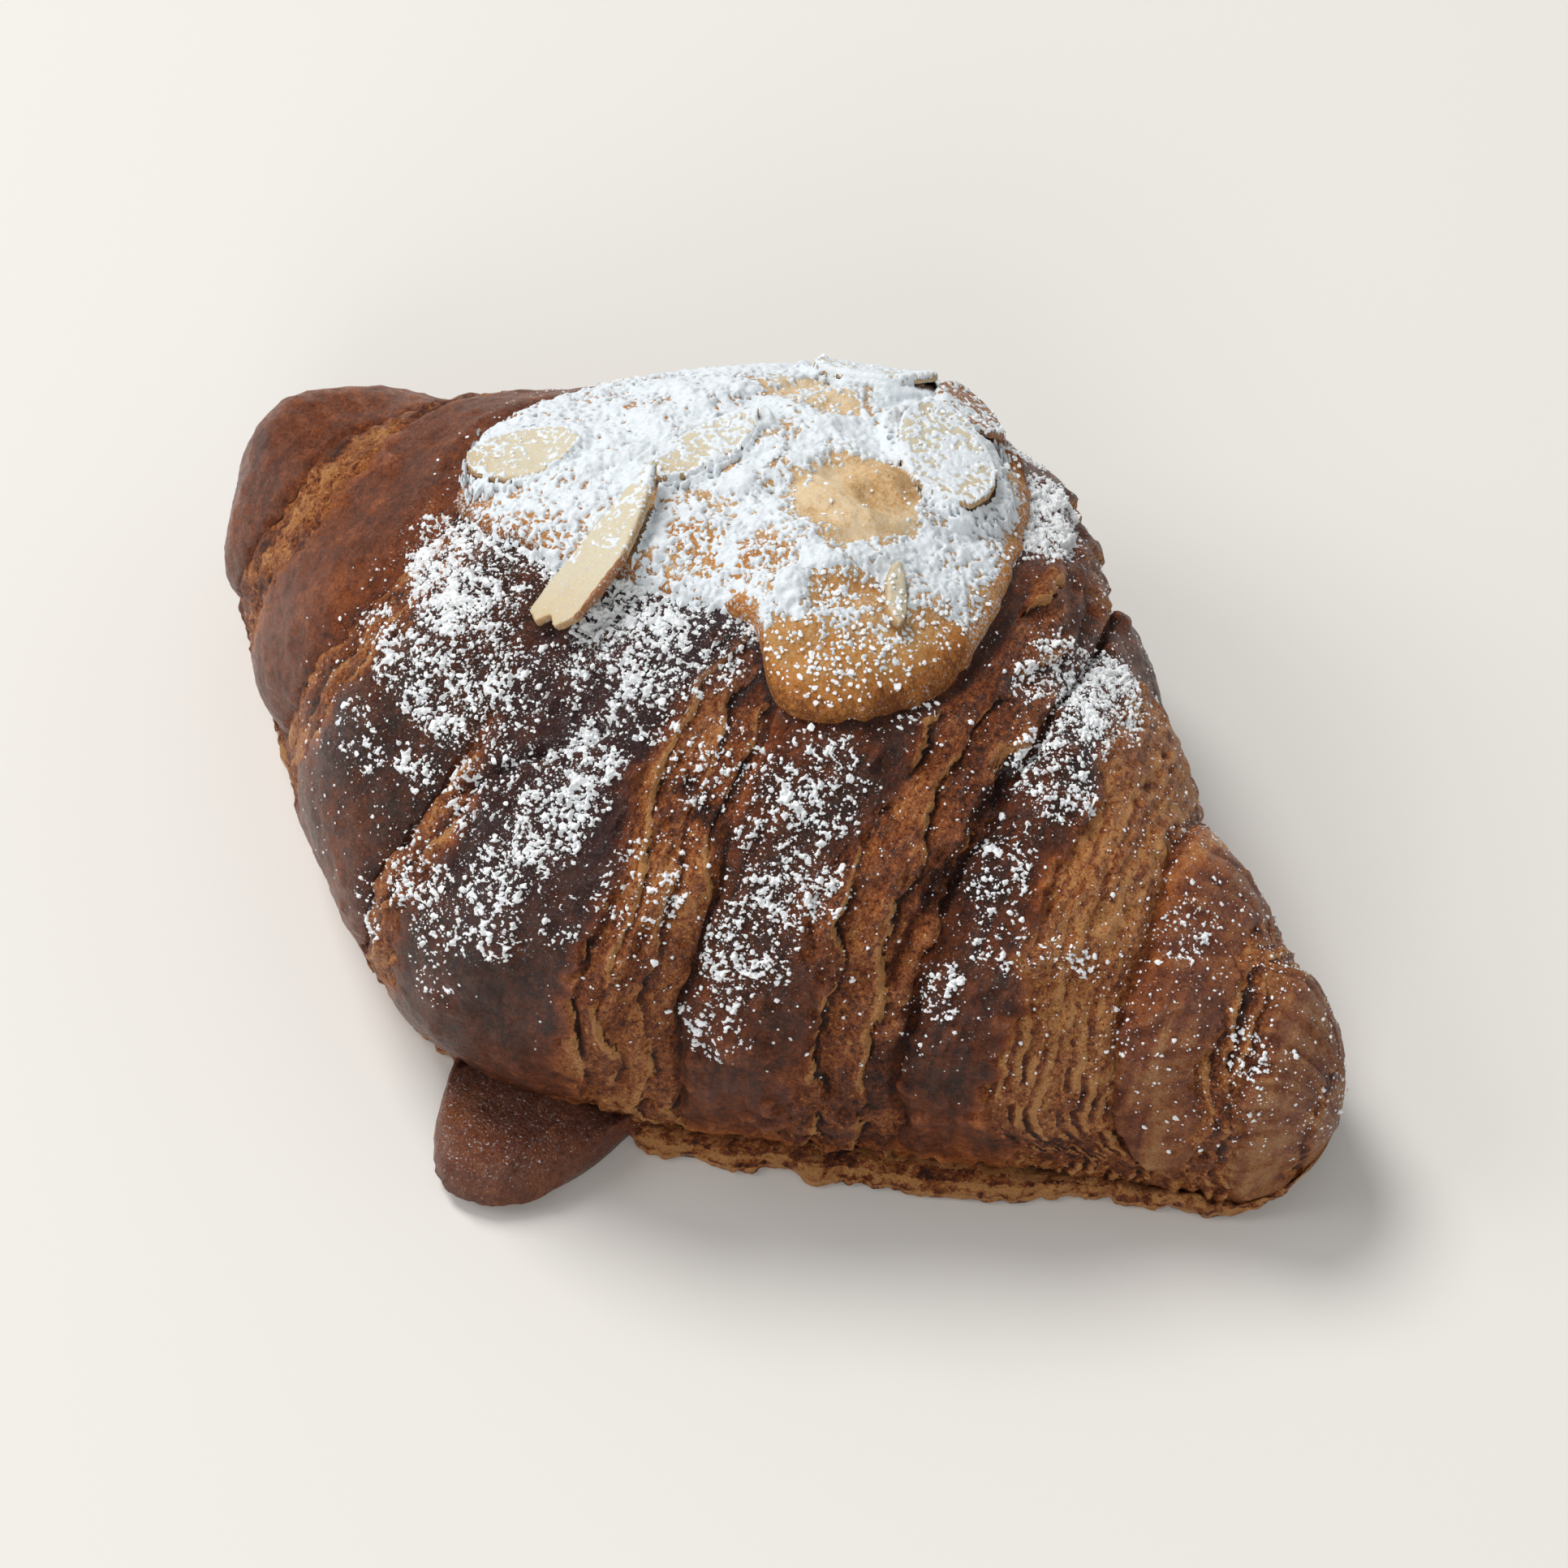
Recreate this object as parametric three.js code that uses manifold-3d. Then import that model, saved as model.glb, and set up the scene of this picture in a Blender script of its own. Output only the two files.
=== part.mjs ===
// Almond croissant: a rolled, laminated pastry with a baked cap of almond cream and almond slices on it.
// Millimetres. +X runs along the roll, -Y is its front, +Z is up, and its foot lies on z = 0.
import * as THREE from "three";
import { mergeVertices } from "three/addons/utils/BufferGeometryUtils.js";
import Module from "manifold-3d";

const wasm = await Module();
wasm.setup();

// Plan and height of the roll, as [place along the roll, size] stations.
const HALF_LENGTH = 78;
const FRONT_EDGE = [
  [-78, -1], [-62, -16], [-40, -35.5], [-18, -50], [5, -48], [32, -36], [58, -23], [78, -16],
];
const BACK_EDGE = [
  [-78, 13], [-60, 19], [-42, 28], [-12, 43], [4, 46], [24, 37], [50, 13.5], [66, 5], [78, 0],
];
const CREST_LINE = [[-78, 6], [-40, -1], [-5, -1], [40, -4], [78, -8]];
const CREST_HEIGHT = [[-78, 28], [-60, 35], [-40, 44], [-15, 52], [5, 54], [30, 48], [55, 35.5], [78, 26]];
const WAIST_SHARE = 0.4; // height of the widest line, as a share of the crest's
const UNDERCUT = 0.22; // how far the foot draws in under the widest line
const FULLNESS = 0.92; // 1 is an ellipse, and less is boxier
const TIP_ROUNDING = 9; // length of the rounding at each end
const FOOT_ANGLE = -65; // where the wall meets the foot, in degrees below the widest line

// Where one turn of dough ends and the next comes out from under it: its place at the front, crest and back.
const SEAMS = [
  [-68, -58, -47],
  [-51, -35.5, -24],
  [-25, -15, -6],
  [14, 11, 9],
  [36, 34, 28],
  [58.5, 52.5, 51],
  [70, 68, 67],
];
const SEAM_DEPTH = [0.65, 0.75, 0.8, 0.6, 0.7, 0.45, 0.2]; // how deep each seam is, as a share of the profile
const SHUT_SEAM = { seam: 2, from: 40, to: 62, by: 0.8 }; // over the crest this one is baked nearly shut
const MIDDLE_TURN = 3; // the outermost turn, which has both its edges free
const SEAM_WAVE = 0.7; // how far a seam wanders
// Height of a turn over the smooth roll, from the groove that it comes out of to its own free edge.
const TURN_PROFILE = [
  [0, -2.6],
  [0.08, -0.5],
  [0.2, 0.7],
  [0.42, 1.6],
  [0.64, 1.3],
  [0.84, 0.1],
  [0.95, -0.9],
  [1, -2.6],
];
const TURN_CROWN = 0.42; // share of the way at which a turn is highest
const UNEVENNESS = 0.7; // rise and fall of the hand-rolled surface

// The thin lip of crust round the foot, and the tail of dough that sticks out at the front.
const LIP_OUT = 2;
const LIP_THICKNESS = 2.4;
const LIP_TUCK = 0.25; // how far the lip's edge on the floor draws in, as a share of its thickness
const FRONT_LIP = { from: 6, to: 66, fadeIn: 6, fadeOut: 20, out: 3.4 };
const TAIL = { at: -2.8, halfWidth: 10.5, out: 17.5, thickness: 7.5, root: 5 }; // its root fills the undercut

// The foot's low spots, which it rests on: turn, share of its width, and 0 at the front or 1 at the back.
const REST_SPOTS = [[2, 0.56, 0], [5, 0.24, 0], [5, 0.12, 1], [1, 0.4, 1]];
const FOOT_RISE = 0.4; // height of the rest of the foot over those spots

// The almond cream: its outline in plan, round from the back.
const CREAM_OUTLINE = [
  [-12, 39], [-30, 26], [-40, 8], [-37, -5], [-25, -10], [-8, -9], [3, -9], [10, -15],
  [18, -13], [24, 0], [23, 14], [17, 30], [5, 41],
];
const CREAM_CENTRE = [-6, 11];
const CREAM_THICKNESS = 2.8;
const CREAM_THIN = { from: -35, to: 5, share: 0.6 }; // it thins towards its left end
const CREAM_LOBE = { at: [14, -5], radius: 13, rise: 1.6 };
const CREAM_SETTLE = [0.5, 3.5]; // distance past its edge over which the turns' grooves come back
const GAP = 0.35; // between pieces that touch

const ALMOND_THICKNESS = 1.2;
const ALMOND_BOW = 0.9; // rise of a slice's ends over its middle
// The almond slices: place, half length and width, turn in plan, tilt across, and height over the cream.
const ALMONDS = [
  { name: "almond_slice_long", at: [-15, -8], half: [11.5, 5], turn: 86, tilt: -20, lift: 1.9, broken: true },
  { name: "almond_slice_left", at: [-32.5, 2], half: [7, 4.6], turn: 24, tilt: 0, lift: 0.1 },
  { name: "almond_slice_middle", at: [-13, 9], half: [7.5, 3.2], turn: 68, tilt: 8, lift: 0.3 },
  { name: "almond_slice_right", at: [10, 22], half: [8.2, 5.4], turn: -44, tilt: 8, lift: 0.3 },
  { name: "almond_sliver", at: [15.5, 0.5], half: [4.2, 1.2], turn: -58, tilt: 0, lift: 0.3 },
  { name: "almond_slice_back", at: [-5, 33], half: [7.5, 4.6], turn: 8, tilt: 0, lift: 0.5 },
  { name: "almond_slice_corner", at: [7, 33], half: [6.5, 4.2], turn: -50, tilt: -6, lift: 0.6 },
];

// Grid of the roll's skin.
const TURN_LINES = [0, 0.05, 0.12, 0.24, 0.4, 0.56, 0.7, 0.82, 0.9, 0.96];
const LEFT_TIP_LINES = [0, 0.01, 0.05, 0.14, 0.28, 0.44, 0.6, 0.72, 0.84, 0.93];
const RIGHT_TIP_LINES = [0, 0.06, 0.16, 0.32, 0.5, 0.68, 0.83, 0.94, 0.99, 1];
const MIDDLE_LINES = [
  0, 0.03, 0.08, 0.15, 0.22, 0.29, 0.35, 0.41, 0.47, 0.53, 0.59, 0.65, 0.71, 0.77, 0.84, 0.92, 0.97,
];
const FLOOR_STEPS = 3;
const LIP_STEPS = 4;
const WALL_STEPS = 20;
const CREAM_AROUND = 52;
const CREAM_ACROSS = 18;

const radians = THREE.MathUtils.degToRad;
const clamp = THREE.MathUtils.clamp;
const mix = THREE.MathUtils.lerp;
const smoothstep = THREE.MathUtils.smoothstep;

// A smooth curve through [x, y] stations, with Catmull-Rom slopes.
function through(stations, x) {
  const last = stations.length - 1;
  const at = clamp(x, stations[0][0], stations[last][0]);
  let i = 0;
  while (i < last - 1 && at > stations[i + 1][0]) {
    i++;
  }
  const slope = (k) => {
    const [before, after] = [stations[Math.max(k - 1, 0)], stations[Math.min(k + 1, last)]];
    return (after[1] - before[1]) / (after[0] - before[0]);
  };
  const [a, b] = [stations[i], stations[i + 1]];
  const span = b[0] - a[0];
  const t = (at - a[0]) / span;
  const rise = t * t * (3 - 2 * t);
  return mix(a[1], b[1], rise) + span * t * (1 - t) * ((1 - t) * slope(i) - t * slope(i + 1));
}

// A seam's place along the roll at an angle: 0 is the front, 90 the crest and 180 the back.
function seamPlace(seam, angle) {
  const [front, crest, back] = SEAMS[seam];
  const t = clamp(angle, -30, 210) / 90 - 1;
  const wave = Math.sin(radians(angle) * 3 + seam * 2.1) + 0.6 * Math.sin(radians(angle) * 7 + seam);
  return crest + (t * (back - front)) / 2 + t * t * ((back + front) / 2 - crest) + SEAM_WAVE * wave;
}

// Each turn's two edges at an angle; the tips of the roll end the outer turns.
function turnEdges(turn, angle) {
  const left = turn === 0 ? -HALF_LENGTH : seamPlace(turn - 1, angle);
  const right = turn === SEAMS.length ? HALF_LENGTH : seamPlace(turn, angle);
  return [left, right];
}

// 1 along the roll, falling on a quarter circle to 0 at either tip.
function tipTaper(s) {
  const into = clamp(1 - (HALF_LENGTH - Math.abs(s)) / TIP_ROUNDING, 0, 1);
  return Math.sqrt(1 - into * into);
}

// The smooth roll's cross-section at s.
function sectionAt(s) {
  const taper = tipTaper(s);
  const crest = through(CREST_LINE, s);
  const height = through(CREST_HEIGHT, s);
  const waist = WAIST_SHARE * height;
  return {
    taper,
    crest,
    waist,
    front: (crest - through(FRONT_EDGE, s)) * taper,
    back: (through(BACK_EDGE, s) - crest) * taper,
    rise: (height - waist) * taper,
    drop: waist * taper,
  };
}

// A point [y, z] of the smooth section at an angle, and the way out of it.
function sectionPoint(section, angle) {
  const c = Math.cos(radians(angle));
  const sn = Math.sin(radians(angle));
  const width = c >= 0 ? section.front : section.back;
  if (sn < 0) {
    const y = section.crest - Math.sign(c) * width * (1 - UNDERCUT * (1 - Math.abs(c)));
    return [y, section.waist + section.drop * sn];
  }
  const y = section.crest - Math.sign(c) * width * Math.abs(c) ** FULLNESS;
  return [y, section.waist + section.rise * sn ** FULLNESS];
}

function wayOut(section, angle) {
  const step = 2;
  const [a, b] = [sectionPoint(section, angle - step), sectionPoint(section, angle + step)];
  const out = new THREE.Vector2(-(b[1] - a[1]), b[0] - a[0]);
  return out.lengthSq() > 1e-9 ? out.normalize() : out.set(0, 0);
}

// Slow rise and fall of the hand-rolled surface.
function uneven(s, angle) {
  const a = radians(angle);
  const swell = Math.sin(0.17 * s + 2.3 * a) * Math.sin(3.1 * a + 0.5);
  const ripple = 0.6 * Math.sin(0.41 * s - 4.3 * a);
  return UNEVENNESS * (swell + ripple);
}

// 1 under the almond cream, where the turns' grooves are filled, and 0 well outside it.
function underCream(x, y) {
  const away = new THREE.Vector2(x - CREAM_CENTRE[0], y - CREAM_CENTRE[1]);
  const reach = creamReach(Math.atan2(away.y, away.x));
  return 1 - smoothstep(away.length(), reach + CREAM_SETTLE[0], reach + CREAM_SETTLE[1]);
}

// How deep a seam is at an angle round the roll.
function seamDepth(seam, angle) {
  const shut = seam === SHUT_SEAM.seam ? SHUT_SEAM.by * smoothstep(angle, SHUT_SEAM.from, SHUT_SEAM.to) : 0;
  return SEAM_DEPTH[seam] * (1 - shut);
}

// Height of the turns over the smooth roll, for a share of the way across one turn and an angle round it.
function turnRelief(turn, share, angle) {
  const leftDepth = seamDepth(Math.max(turn - 1, 0), angle);
  const rightDepth = seamDepth(Math.min(turn, SEAMS.length - 1), angle);
  let across = turn < MIDDLE_TURN ? 1 - share : share;
  if (turn === MIDDLE_TURN) {
    across = mix(TURN_CROWN, 1, Math.abs(2 * share - 1));
  }
  return through(TURN_PROFILE, across) * mix(leftDepth, rightDepth, share);
}

// A point of the roll's skin, for a share of the way across one turn and an angle round the roll.
function skinPoint(turn, share, angle) {
  const [left, right] = turnEdges(turn, angle);
  const s = mix(left, right, share);
  const section = sectionAt(s);
  const [y, z] = sectionPoint(section, angle);
  const out = wayOut(section, angle);
  const toFoot = smoothstep(Math.sin(radians(angle)), Math.sin(radians(FOOT_ANGLE)), 0.1);
  let tipFade = 1;
  if (turn === 0) {
    tipFade = smoothstep(share, 0.1, 0.6);
  }
  if (turn === SEAMS.length) {
    tipFade = 1 - smoothstep(share, 0, 0.5);
  }
  const turns = turnRelief(turn, share, angle) * tipFade * (1 - underCream(s, y));
  const lift = (turns + uneven(s, angle)) * toFoot * section.taper;
  const height = z + out.y * lift;
  const root = angle < 0 ? TAIL.root * tailLobe(s) : 0;
  return { s, y: y + out.x * lift, z: height < root ? mix(root, height, 0.2) : height, section };
}

// 1 in the middle of the tail, falling on a circle to 0 at its sides.
function tailLobe(s) {
  const across = clamp(Math.abs(s - TAIL.at) / TAIL.halfWidth, 0, 1);
  return Math.sqrt(1 - across * across);
}

// How far the foot's lip or the tail reaches out from the wall at s, and its thickness.
function footLip(s, side) {
  let out = LIP_OUT;
  let thickness = LIP_THICKNESS;
  if (side < 0) {
    const begun = smoothstep(s, FRONT_LIP.from, FRONT_LIP.from + FRONT_LIP.fadeIn);
    const ended = smoothstep(s, FRONT_LIP.to - FRONT_LIP.fadeOut, FRONT_LIP.to);
    out += FRONT_LIP.out * begun * (1 - ended) * (0.9 + 0.1 * Math.sin(0.45 * s));
    const lobe = tailLobe(s);
    out = Math.max(out, TAIL.out * lobe);
    thickness = mix(thickness, TAIL.thickness, Math.sqrt(lobe));
  }
  return { out, thickness };
}

// The lip's section at the foot of the wall, from its edge on the floor (0) over its top to the wall (1).
function lipPoint(turn, share, side, along) {
  const wall = skinPoint(turn, share, side < 0 ? FOOT_ANGLE : 180 - FOOT_ANGLE);
  const { taper, waist } = wall.section;
  const floor = waist * (1 - taper);
  const lip = footLip(wall.s, side);
  const thickness = lip.thickness * taper;
  const edge = wall.y + side * lip.out * taper;
  if (along === 0) {
    return new THREE.Vector3(wall.s, edge - side * LIP_TUCK * thickness, floor);
  }
  const turnIn = along * 0.5 * Math.PI;
  const y = mix(wall.y, edge, Math.cos(turnIn) ** 0.7);
  const z = floor + (wall.z - floor) * Math.sin(turnIn) ** 3 + 0.8 * thickness * Math.sin(2 * turnIn);
  return new THREE.Vector3(wall.s, y, z);
}

// One vertex of the skin's grid: a turn and share along the roll, and a step round it from under its middle.
function gridPoint(turn, share, step) {
  const halfRing = FLOOR_STEPS + LIP_STEPS + WALL_STEPS;
  const side = step <= halfRing ? -1 : 1;
  const m = side < 0 ? step : 2 * halfRing - step;
  if (m >= FLOOR_STEPS + LIP_STEPS) {
    const angle = mix(FOOT_ANGLE, 90, (m - FLOOR_STEPS - LIP_STEPS) / WALL_STEPS);
    const { s, y, z } = skinPoint(turn, share, side < 0 ? angle : 180 - angle);
    return [s, y, z];
  }
  if (m > FLOOR_STEPS) {
    return lipPoint(turn, share, side, (m - FLOOR_STEPS) / LIP_STEPS).toArray();
  }
  const across = (1 + (side * m) / FLOOR_STEPS) / 2;
  const under = lipPoint(turn, share, -1, 0).lerp(lipPoint(turn, share, 1, 0), across);
  const rests = REST_SPOTS.some((spot) => spot[0] === turn && spot[1] === share && spot[2] === across);
  under.z += rests ? 0 : FOOT_RISE * tipTaper(under.x);
  return under.toArray();
}

// A closed mesh with shared vertices, from a geometry whose every vertex is placed again.
function placed(geometry, place) {
  const position = geometry.getAttribute("position");
  for (let i = 0; i < position.count; i++) {
    position.setXYZ(i, ...place(i, position));
  }
  geometry.deleteAttribute("normal");
  geometry.deleteAttribute("uv");
  return mergeVertices(geometry, 1e-4);
}

// The lines of the grid across one turn, as shares of its width.
function linesOf(turn) {
  const special = { 0: LEFT_TIP_LINES, [MIDDLE_TURN]: MIDDLE_LINES, [SEAMS.length]: RIGHT_TIP_LINES };
  return special[turn] ?? TURN_LINES;
}

// The roll: a sphere whose poles are the tips, with every vertex moved onto the skin.
function rollGeometry() {
  const lines = [];
  for (let turn = 0; turn <= SEAMS.length; turn++) {
    lines.push(...linesOf(turn).map((share) => [turn, share]));
  }
  const around = 2 * (FLOOR_STEPS + LIP_STEPS + WALL_STEPS);
  const sphere = new THREE.SphereGeometry(1, around, lines.length - 1);
  return placed(sphere, (i) => {
    const [turn, share] = lines[Math.floor(i / (around + 1))];
    return gridPoint(turn, share, (i % (around + 1)) % around);
  });
}

// Height of the roll's top at a place in plan, on the smooth skin that the cream lies on.
function rollTop(x, y) {
  const section = sectionAt(x);
  const width = y < section.crest ? section.front : section.back;
  const c = clamp(Math.abs(y - section.crest) / width, 0, 0.98) ** (1 / FULLNESS);
  const angle = Math.acos(c) * THREE.MathUtils.RAD2DEG;
  const smooth = section.waist + section.rise * Math.sin(radians(angle)) ** FULLNESS;
  return smooth + uneven(x, y < section.crest ? angle : 180 - angle);
}

// Reach of the cream from its centre, by direction.
const creamCurve = new THREE.CatmullRomCurve3(
  CREAM_OUTLINE.map(([x, y]) => new THREE.Vector3(x - CREAM_CENTRE[0], y - CREAM_CENTRE[1], 0)),
  true,
  "catmullrom",
);
const creamRays = creamCurve.getPoints(240).map((p) => [Math.atan2(p.y, p.x), Math.hypot(p.x, p.y)]);
function creamReach(direction) {
  let nearest = creamRays[0];
  const gapTo = (ray) => Math.abs(Math.atan2(Math.sin(ray[0] - direction), Math.cos(ray[0] - direction)));
  for (const ray of creamRays) {
    nearest = gapTo(ray) < gapTo(nearest) ? ray : nearest;
  }
  return nearest[1];
}

// Heights of the cream's underside and top at a place in plan; share is 0 at its centre and 1 at its edge.
function creamFloor(x, y, share) {
  return rollTop(x, y) + GAP * mix(1, 2.5, share * share);
}

function creamTop(x, y, share) {
  const lobe = Math.hypot(x - CREAM_LOBE.at[0], y - CREAM_LOBE.at[1]) / CREAM_LOBE.radius;
  const mounds = 0.45 * Math.sin(0.55 * x + 0.3 * y) * Math.sin(0.6 * y - 0.2 * x);
  const bumps = mounds + 0.3 * Math.sin(0.9 * x - 0.7 * y);
  const spread = mix(CREAM_THIN.share, 1, smoothstep(x, CREAM_THIN.from, CREAM_THIN.to));
  const thickness = (CREAM_THICKNESS + bumps) * spread + CREAM_LOBE.rise * Math.exp(-lobe * lobe);
  return creamFloor(x, y, share) + thickness * (1 - share ** 4) ** 0.6;
}

// The almond cream: a sphere pressed onto the roll's top inside its outline.
function creamGeometry() {
  const sphere = new THREE.SphereGeometry(1, CREAM_AROUND, CREAM_ACROSS);
  return placed(sphere, (i) => {
    const direction = ((i % (CREAM_AROUND + 1)) / CREAM_AROUND) * 2 * Math.PI;
    const down = (Math.floor(i / (CREAM_AROUND + 1)) / CREAM_ACROSS) * Math.PI;
    const share = Math.sin(down) ** 0.8;
    const reach = share * creamReach(direction);
    const x = CREAM_CENTRE[0] + reach * Math.cos(direction);
    const y = CREAM_CENTRE[1] + reach * Math.sin(direction);
    return [x, y, down < Math.PI / 2 ? creamTop(x, y, share) : creamFloor(x, y, share)];
  });
}

// Outline of a slice: a pointed oval, or one whose blunt end is broken off in a jagged line.
function almondOutline(a, b, broken) {
  const outline = new THREE.Shape();
  if (broken) {
    const jag = [[-0.97, 0.3], [-0.84, 0.02], [-0.98, -0.42], [-0.82, -0.78]];
    outline.moveTo(-0.86 * a, 0.76 * b);
    jag.forEach(([x, y]) => outline.lineTo(x * a, y * b));
    outline.bezierCurveTo(-0.3 * a, -1.05 * b, 0.4 * a, -0.75 * b, a, 0);
    outline.bezierCurveTo(0.5 * a, 0.62 * b, -0.3 * a, 1.05 * b, -0.86 * a, 0.76 * b);
    return outline;
  }
  outline.moveTo(-a, 0);
  outline.bezierCurveTo(-a, -0.7 * b, -0.5 * a, -b, 0.1 * a, -b);
  outline.bezierCurveTo(0.6 * a, -b, 0.85 * a, -0.4 * b, a, 0);
  outline.bezierCurveTo(0.85 * a, 0.4 * b, 0.6 * a, b, 0.1 * a, b);
  outline.bezierCurveTo(-0.5 * a, b, -a, 0.7 * b, -a, 0);
  return outline;
}

// An almond slice: a thin plate that bows up at its ends; grow makes the pocket that it sits in.
function almondGeometry({ half, broken }, grow = 0) {
  const a = half[0] + grow;
  const depth = ALMOND_THICKNESS + 2 * grow;
  const outline = almondOutline(a, half[1] + grow, broken);
  const extrusion = { depth, curveSegments: 5, steps: 1, bevelEnabled: false };
  const plate = new THREE.ExtrudeGeometry(outline, extrusion);
  return placed(plate, (i, p) => {
    const bow = ALMOND_BOW * (p.getX(i) / a) ** 2;
    return [p.getX(i), p.getY(i), p.getZ(i) - depth / 2 + bow];
  });
}

// Where an almond slice lies on the cream or, past the cream's edge, on the roll.
function almondMatrix({ at, turn, tilt, lift }) {
  const top = (x, y) => {
    const reach = creamReach(Math.atan2(y - CREAM_CENTRE[1], x - CREAM_CENTRE[0]));
    return creamTop(x, y, Math.min(1, Math.hypot(x - CREAM_CENTRE[0], y - CREAM_CENTRE[1]) / reach));
  };
  const [x, y] = at;
  const reachOut = 4;
  const slopeX = (top(x + reachOut, y) - top(x - reachOut, y)) / (2 * reachOut);
  const slopeY = (top(x, y + reachOut) - top(x, y - reachOut)) / (2 * reachOut);
  const up = new THREE.Vector3(-slopeX, -slopeY, 1).normalize();
  const lay = new THREE.Quaternion().setFromUnitVectors(new THREE.Vector3(0, 0, 1), up);
  lay.multiply(new THREE.Quaternion().setFromAxisAngle(new THREE.Vector3(0, 0, 1), radians(turn)));
  lay.multiply(new THREE.Quaternion().setFromAxisAngle(new THREE.Vector3(1, 0, 0), radians(tilt)));
  const place = new THREE.Vector3(x, y, top(x, y)).addScaledVector(up, lift);
  return new THREE.Matrix4().compose(place, lay, new THREE.Vector3(1, 1, 1));
}

// A closed mesh as a solid that can be cut, and back.
function solidOf(geometry) {
  return new wasm.Manifold(
    new wasm.Mesh({
      numProp: 3,
      vertProperties: geometry.getAttribute("position").array,
      triVerts: new Uint32Array(geometry.index.array),
    }),
  );
}

function geometryOf(solid) {
  const mesh = solid.getMesh();
  return new THREE.BufferGeometry()
    .setAttribute("position", new THREE.BufferAttribute(mesh.vertProperties, 3))
    .setIndex(new THREE.BufferAttribute(mesh.triVerts, 1));
}

// The cream with a pocket for each slice.
function pocketedCream() {
  let cream = solidOf(creamGeometry());
  for (const almond of ALMONDS) {
    cream = cream.subtract(solidOf(almondGeometry(almond, GAP).applyMatrix4(almondMatrix(almond))));
  }
  return geometryOf(cream);
}

const CRUST = { color: "#6b3717", roughness: 0.5, metalness: 0 };
const BAKED_CREAM = { color: "#c98a45", roughness: 0.8, metalness: 0 };
const ALMOND_FLESH = { color: "#e3c48c", roughness: 0.6, metalness: 0 };

function named(name, geometry, look) {
  const mesh = new THREE.Mesh(geometry, new THREE.MeshStandardMaterial(look));
  mesh.name = name;
  return mesh;
}

const pastry = new THREE.Group();
pastry.add(named("croissant", rollGeometry(), CRUST));
pastry.add(named("almond_cream", pocketedCream(), BAKED_CREAM));
for (const almond of ALMONDS) {
  const slice = named(almond.name, almondGeometry(almond), ALMOND_FLESH);
  slice.applyMatrix4(almondMatrix(almond));
  pastry.add(slice);
}

// The part's origin is under the middle of its box.
const box = new THREE.Box3().setFromObject(pastry);
pastry.position.set(-(box.min.x + box.max.x) / 2, -(box.min.y + box.max.y) / 2, -box.min.z);
const part = new THREE.Group();
part.add(pastry);

export default part;
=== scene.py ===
"""Almond croissant: crust, almond cream, almond slices and powdered sugar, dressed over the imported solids."""

import itertools
import math
from types import SimpleNamespace

import bmesh
import bpy
import numpy as np
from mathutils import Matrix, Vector
from mathutils.bvhtree import BVHTree


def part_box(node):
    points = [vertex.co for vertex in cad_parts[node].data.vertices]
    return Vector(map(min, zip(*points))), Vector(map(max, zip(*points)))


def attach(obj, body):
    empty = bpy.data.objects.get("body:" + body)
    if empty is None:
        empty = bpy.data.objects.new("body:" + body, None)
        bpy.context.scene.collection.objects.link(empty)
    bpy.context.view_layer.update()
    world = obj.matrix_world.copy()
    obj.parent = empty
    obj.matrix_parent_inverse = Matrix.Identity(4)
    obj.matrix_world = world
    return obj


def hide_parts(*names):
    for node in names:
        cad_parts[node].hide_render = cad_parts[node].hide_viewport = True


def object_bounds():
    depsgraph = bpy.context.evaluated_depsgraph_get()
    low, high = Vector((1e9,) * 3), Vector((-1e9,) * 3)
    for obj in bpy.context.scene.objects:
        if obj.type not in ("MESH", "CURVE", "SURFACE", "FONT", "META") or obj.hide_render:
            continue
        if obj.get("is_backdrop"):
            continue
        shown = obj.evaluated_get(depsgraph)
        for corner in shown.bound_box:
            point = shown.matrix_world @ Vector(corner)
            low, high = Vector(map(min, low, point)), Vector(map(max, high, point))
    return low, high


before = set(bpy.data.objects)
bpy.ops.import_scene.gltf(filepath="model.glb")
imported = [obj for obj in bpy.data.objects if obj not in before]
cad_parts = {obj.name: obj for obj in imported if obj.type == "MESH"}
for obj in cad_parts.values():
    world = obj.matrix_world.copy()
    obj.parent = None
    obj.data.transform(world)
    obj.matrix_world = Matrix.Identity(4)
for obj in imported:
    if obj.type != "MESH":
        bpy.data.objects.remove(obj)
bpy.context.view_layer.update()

# Plan and height of the roll in millimetres, as (place along the roll, size) stations.
HALF_LENGTH = 78
FRONT_EDGE = [(-78, -1), (-62, -16), (-40, -35.5), (-18, -50), (5, -48), (32, -36), (58, -23), (78, -16)]
BACK_EDGE = [(-78, 13), (-60, 19), (-42, 28), (-12, 43), (4, 46), (24, 37), (50, 13.5), (66, 5), (78, 0)]
CREST_LINE = [(-78, 6), (-40, -1), (-5, -1), (40, -4), (78, -8)]
CREST_HEIGHT = [(-78, 28), (-60, 35), (-40, 44), (-15, 52), (5, 54), (30, 48), (55, 35.5), (78, 26)]
WAIST_SHARE = 0.4
UNDERCUT = 0.22
FULLNESS = 0.92
TIP_ROUNDING = 9
FOOT_ANGLE = -65
HEM_ANGLE = -43

# The turns of dough, left to right, and the seams between them at the front, crest and back.
SEAMS = [
    (-68, -58, -47), (-51, -35.5, -24), (-25, -15, -6), (14, 11, 9),
    (36, 34, 28), (58.5, 52.5, 51), (70, 68, 67),
]
SEAM_DEPTH = [0.65, 0.75, 0.8, 0.6, 0.7, 0.45, 0.2]
SHUT_SEAM = {"seam": 2, "from": 40, "to": 62, "by": 0.8}
MIDDLE_TURN = 3
COMBED_TURN = 5
SEAM_WAVE = 0.7
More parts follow.
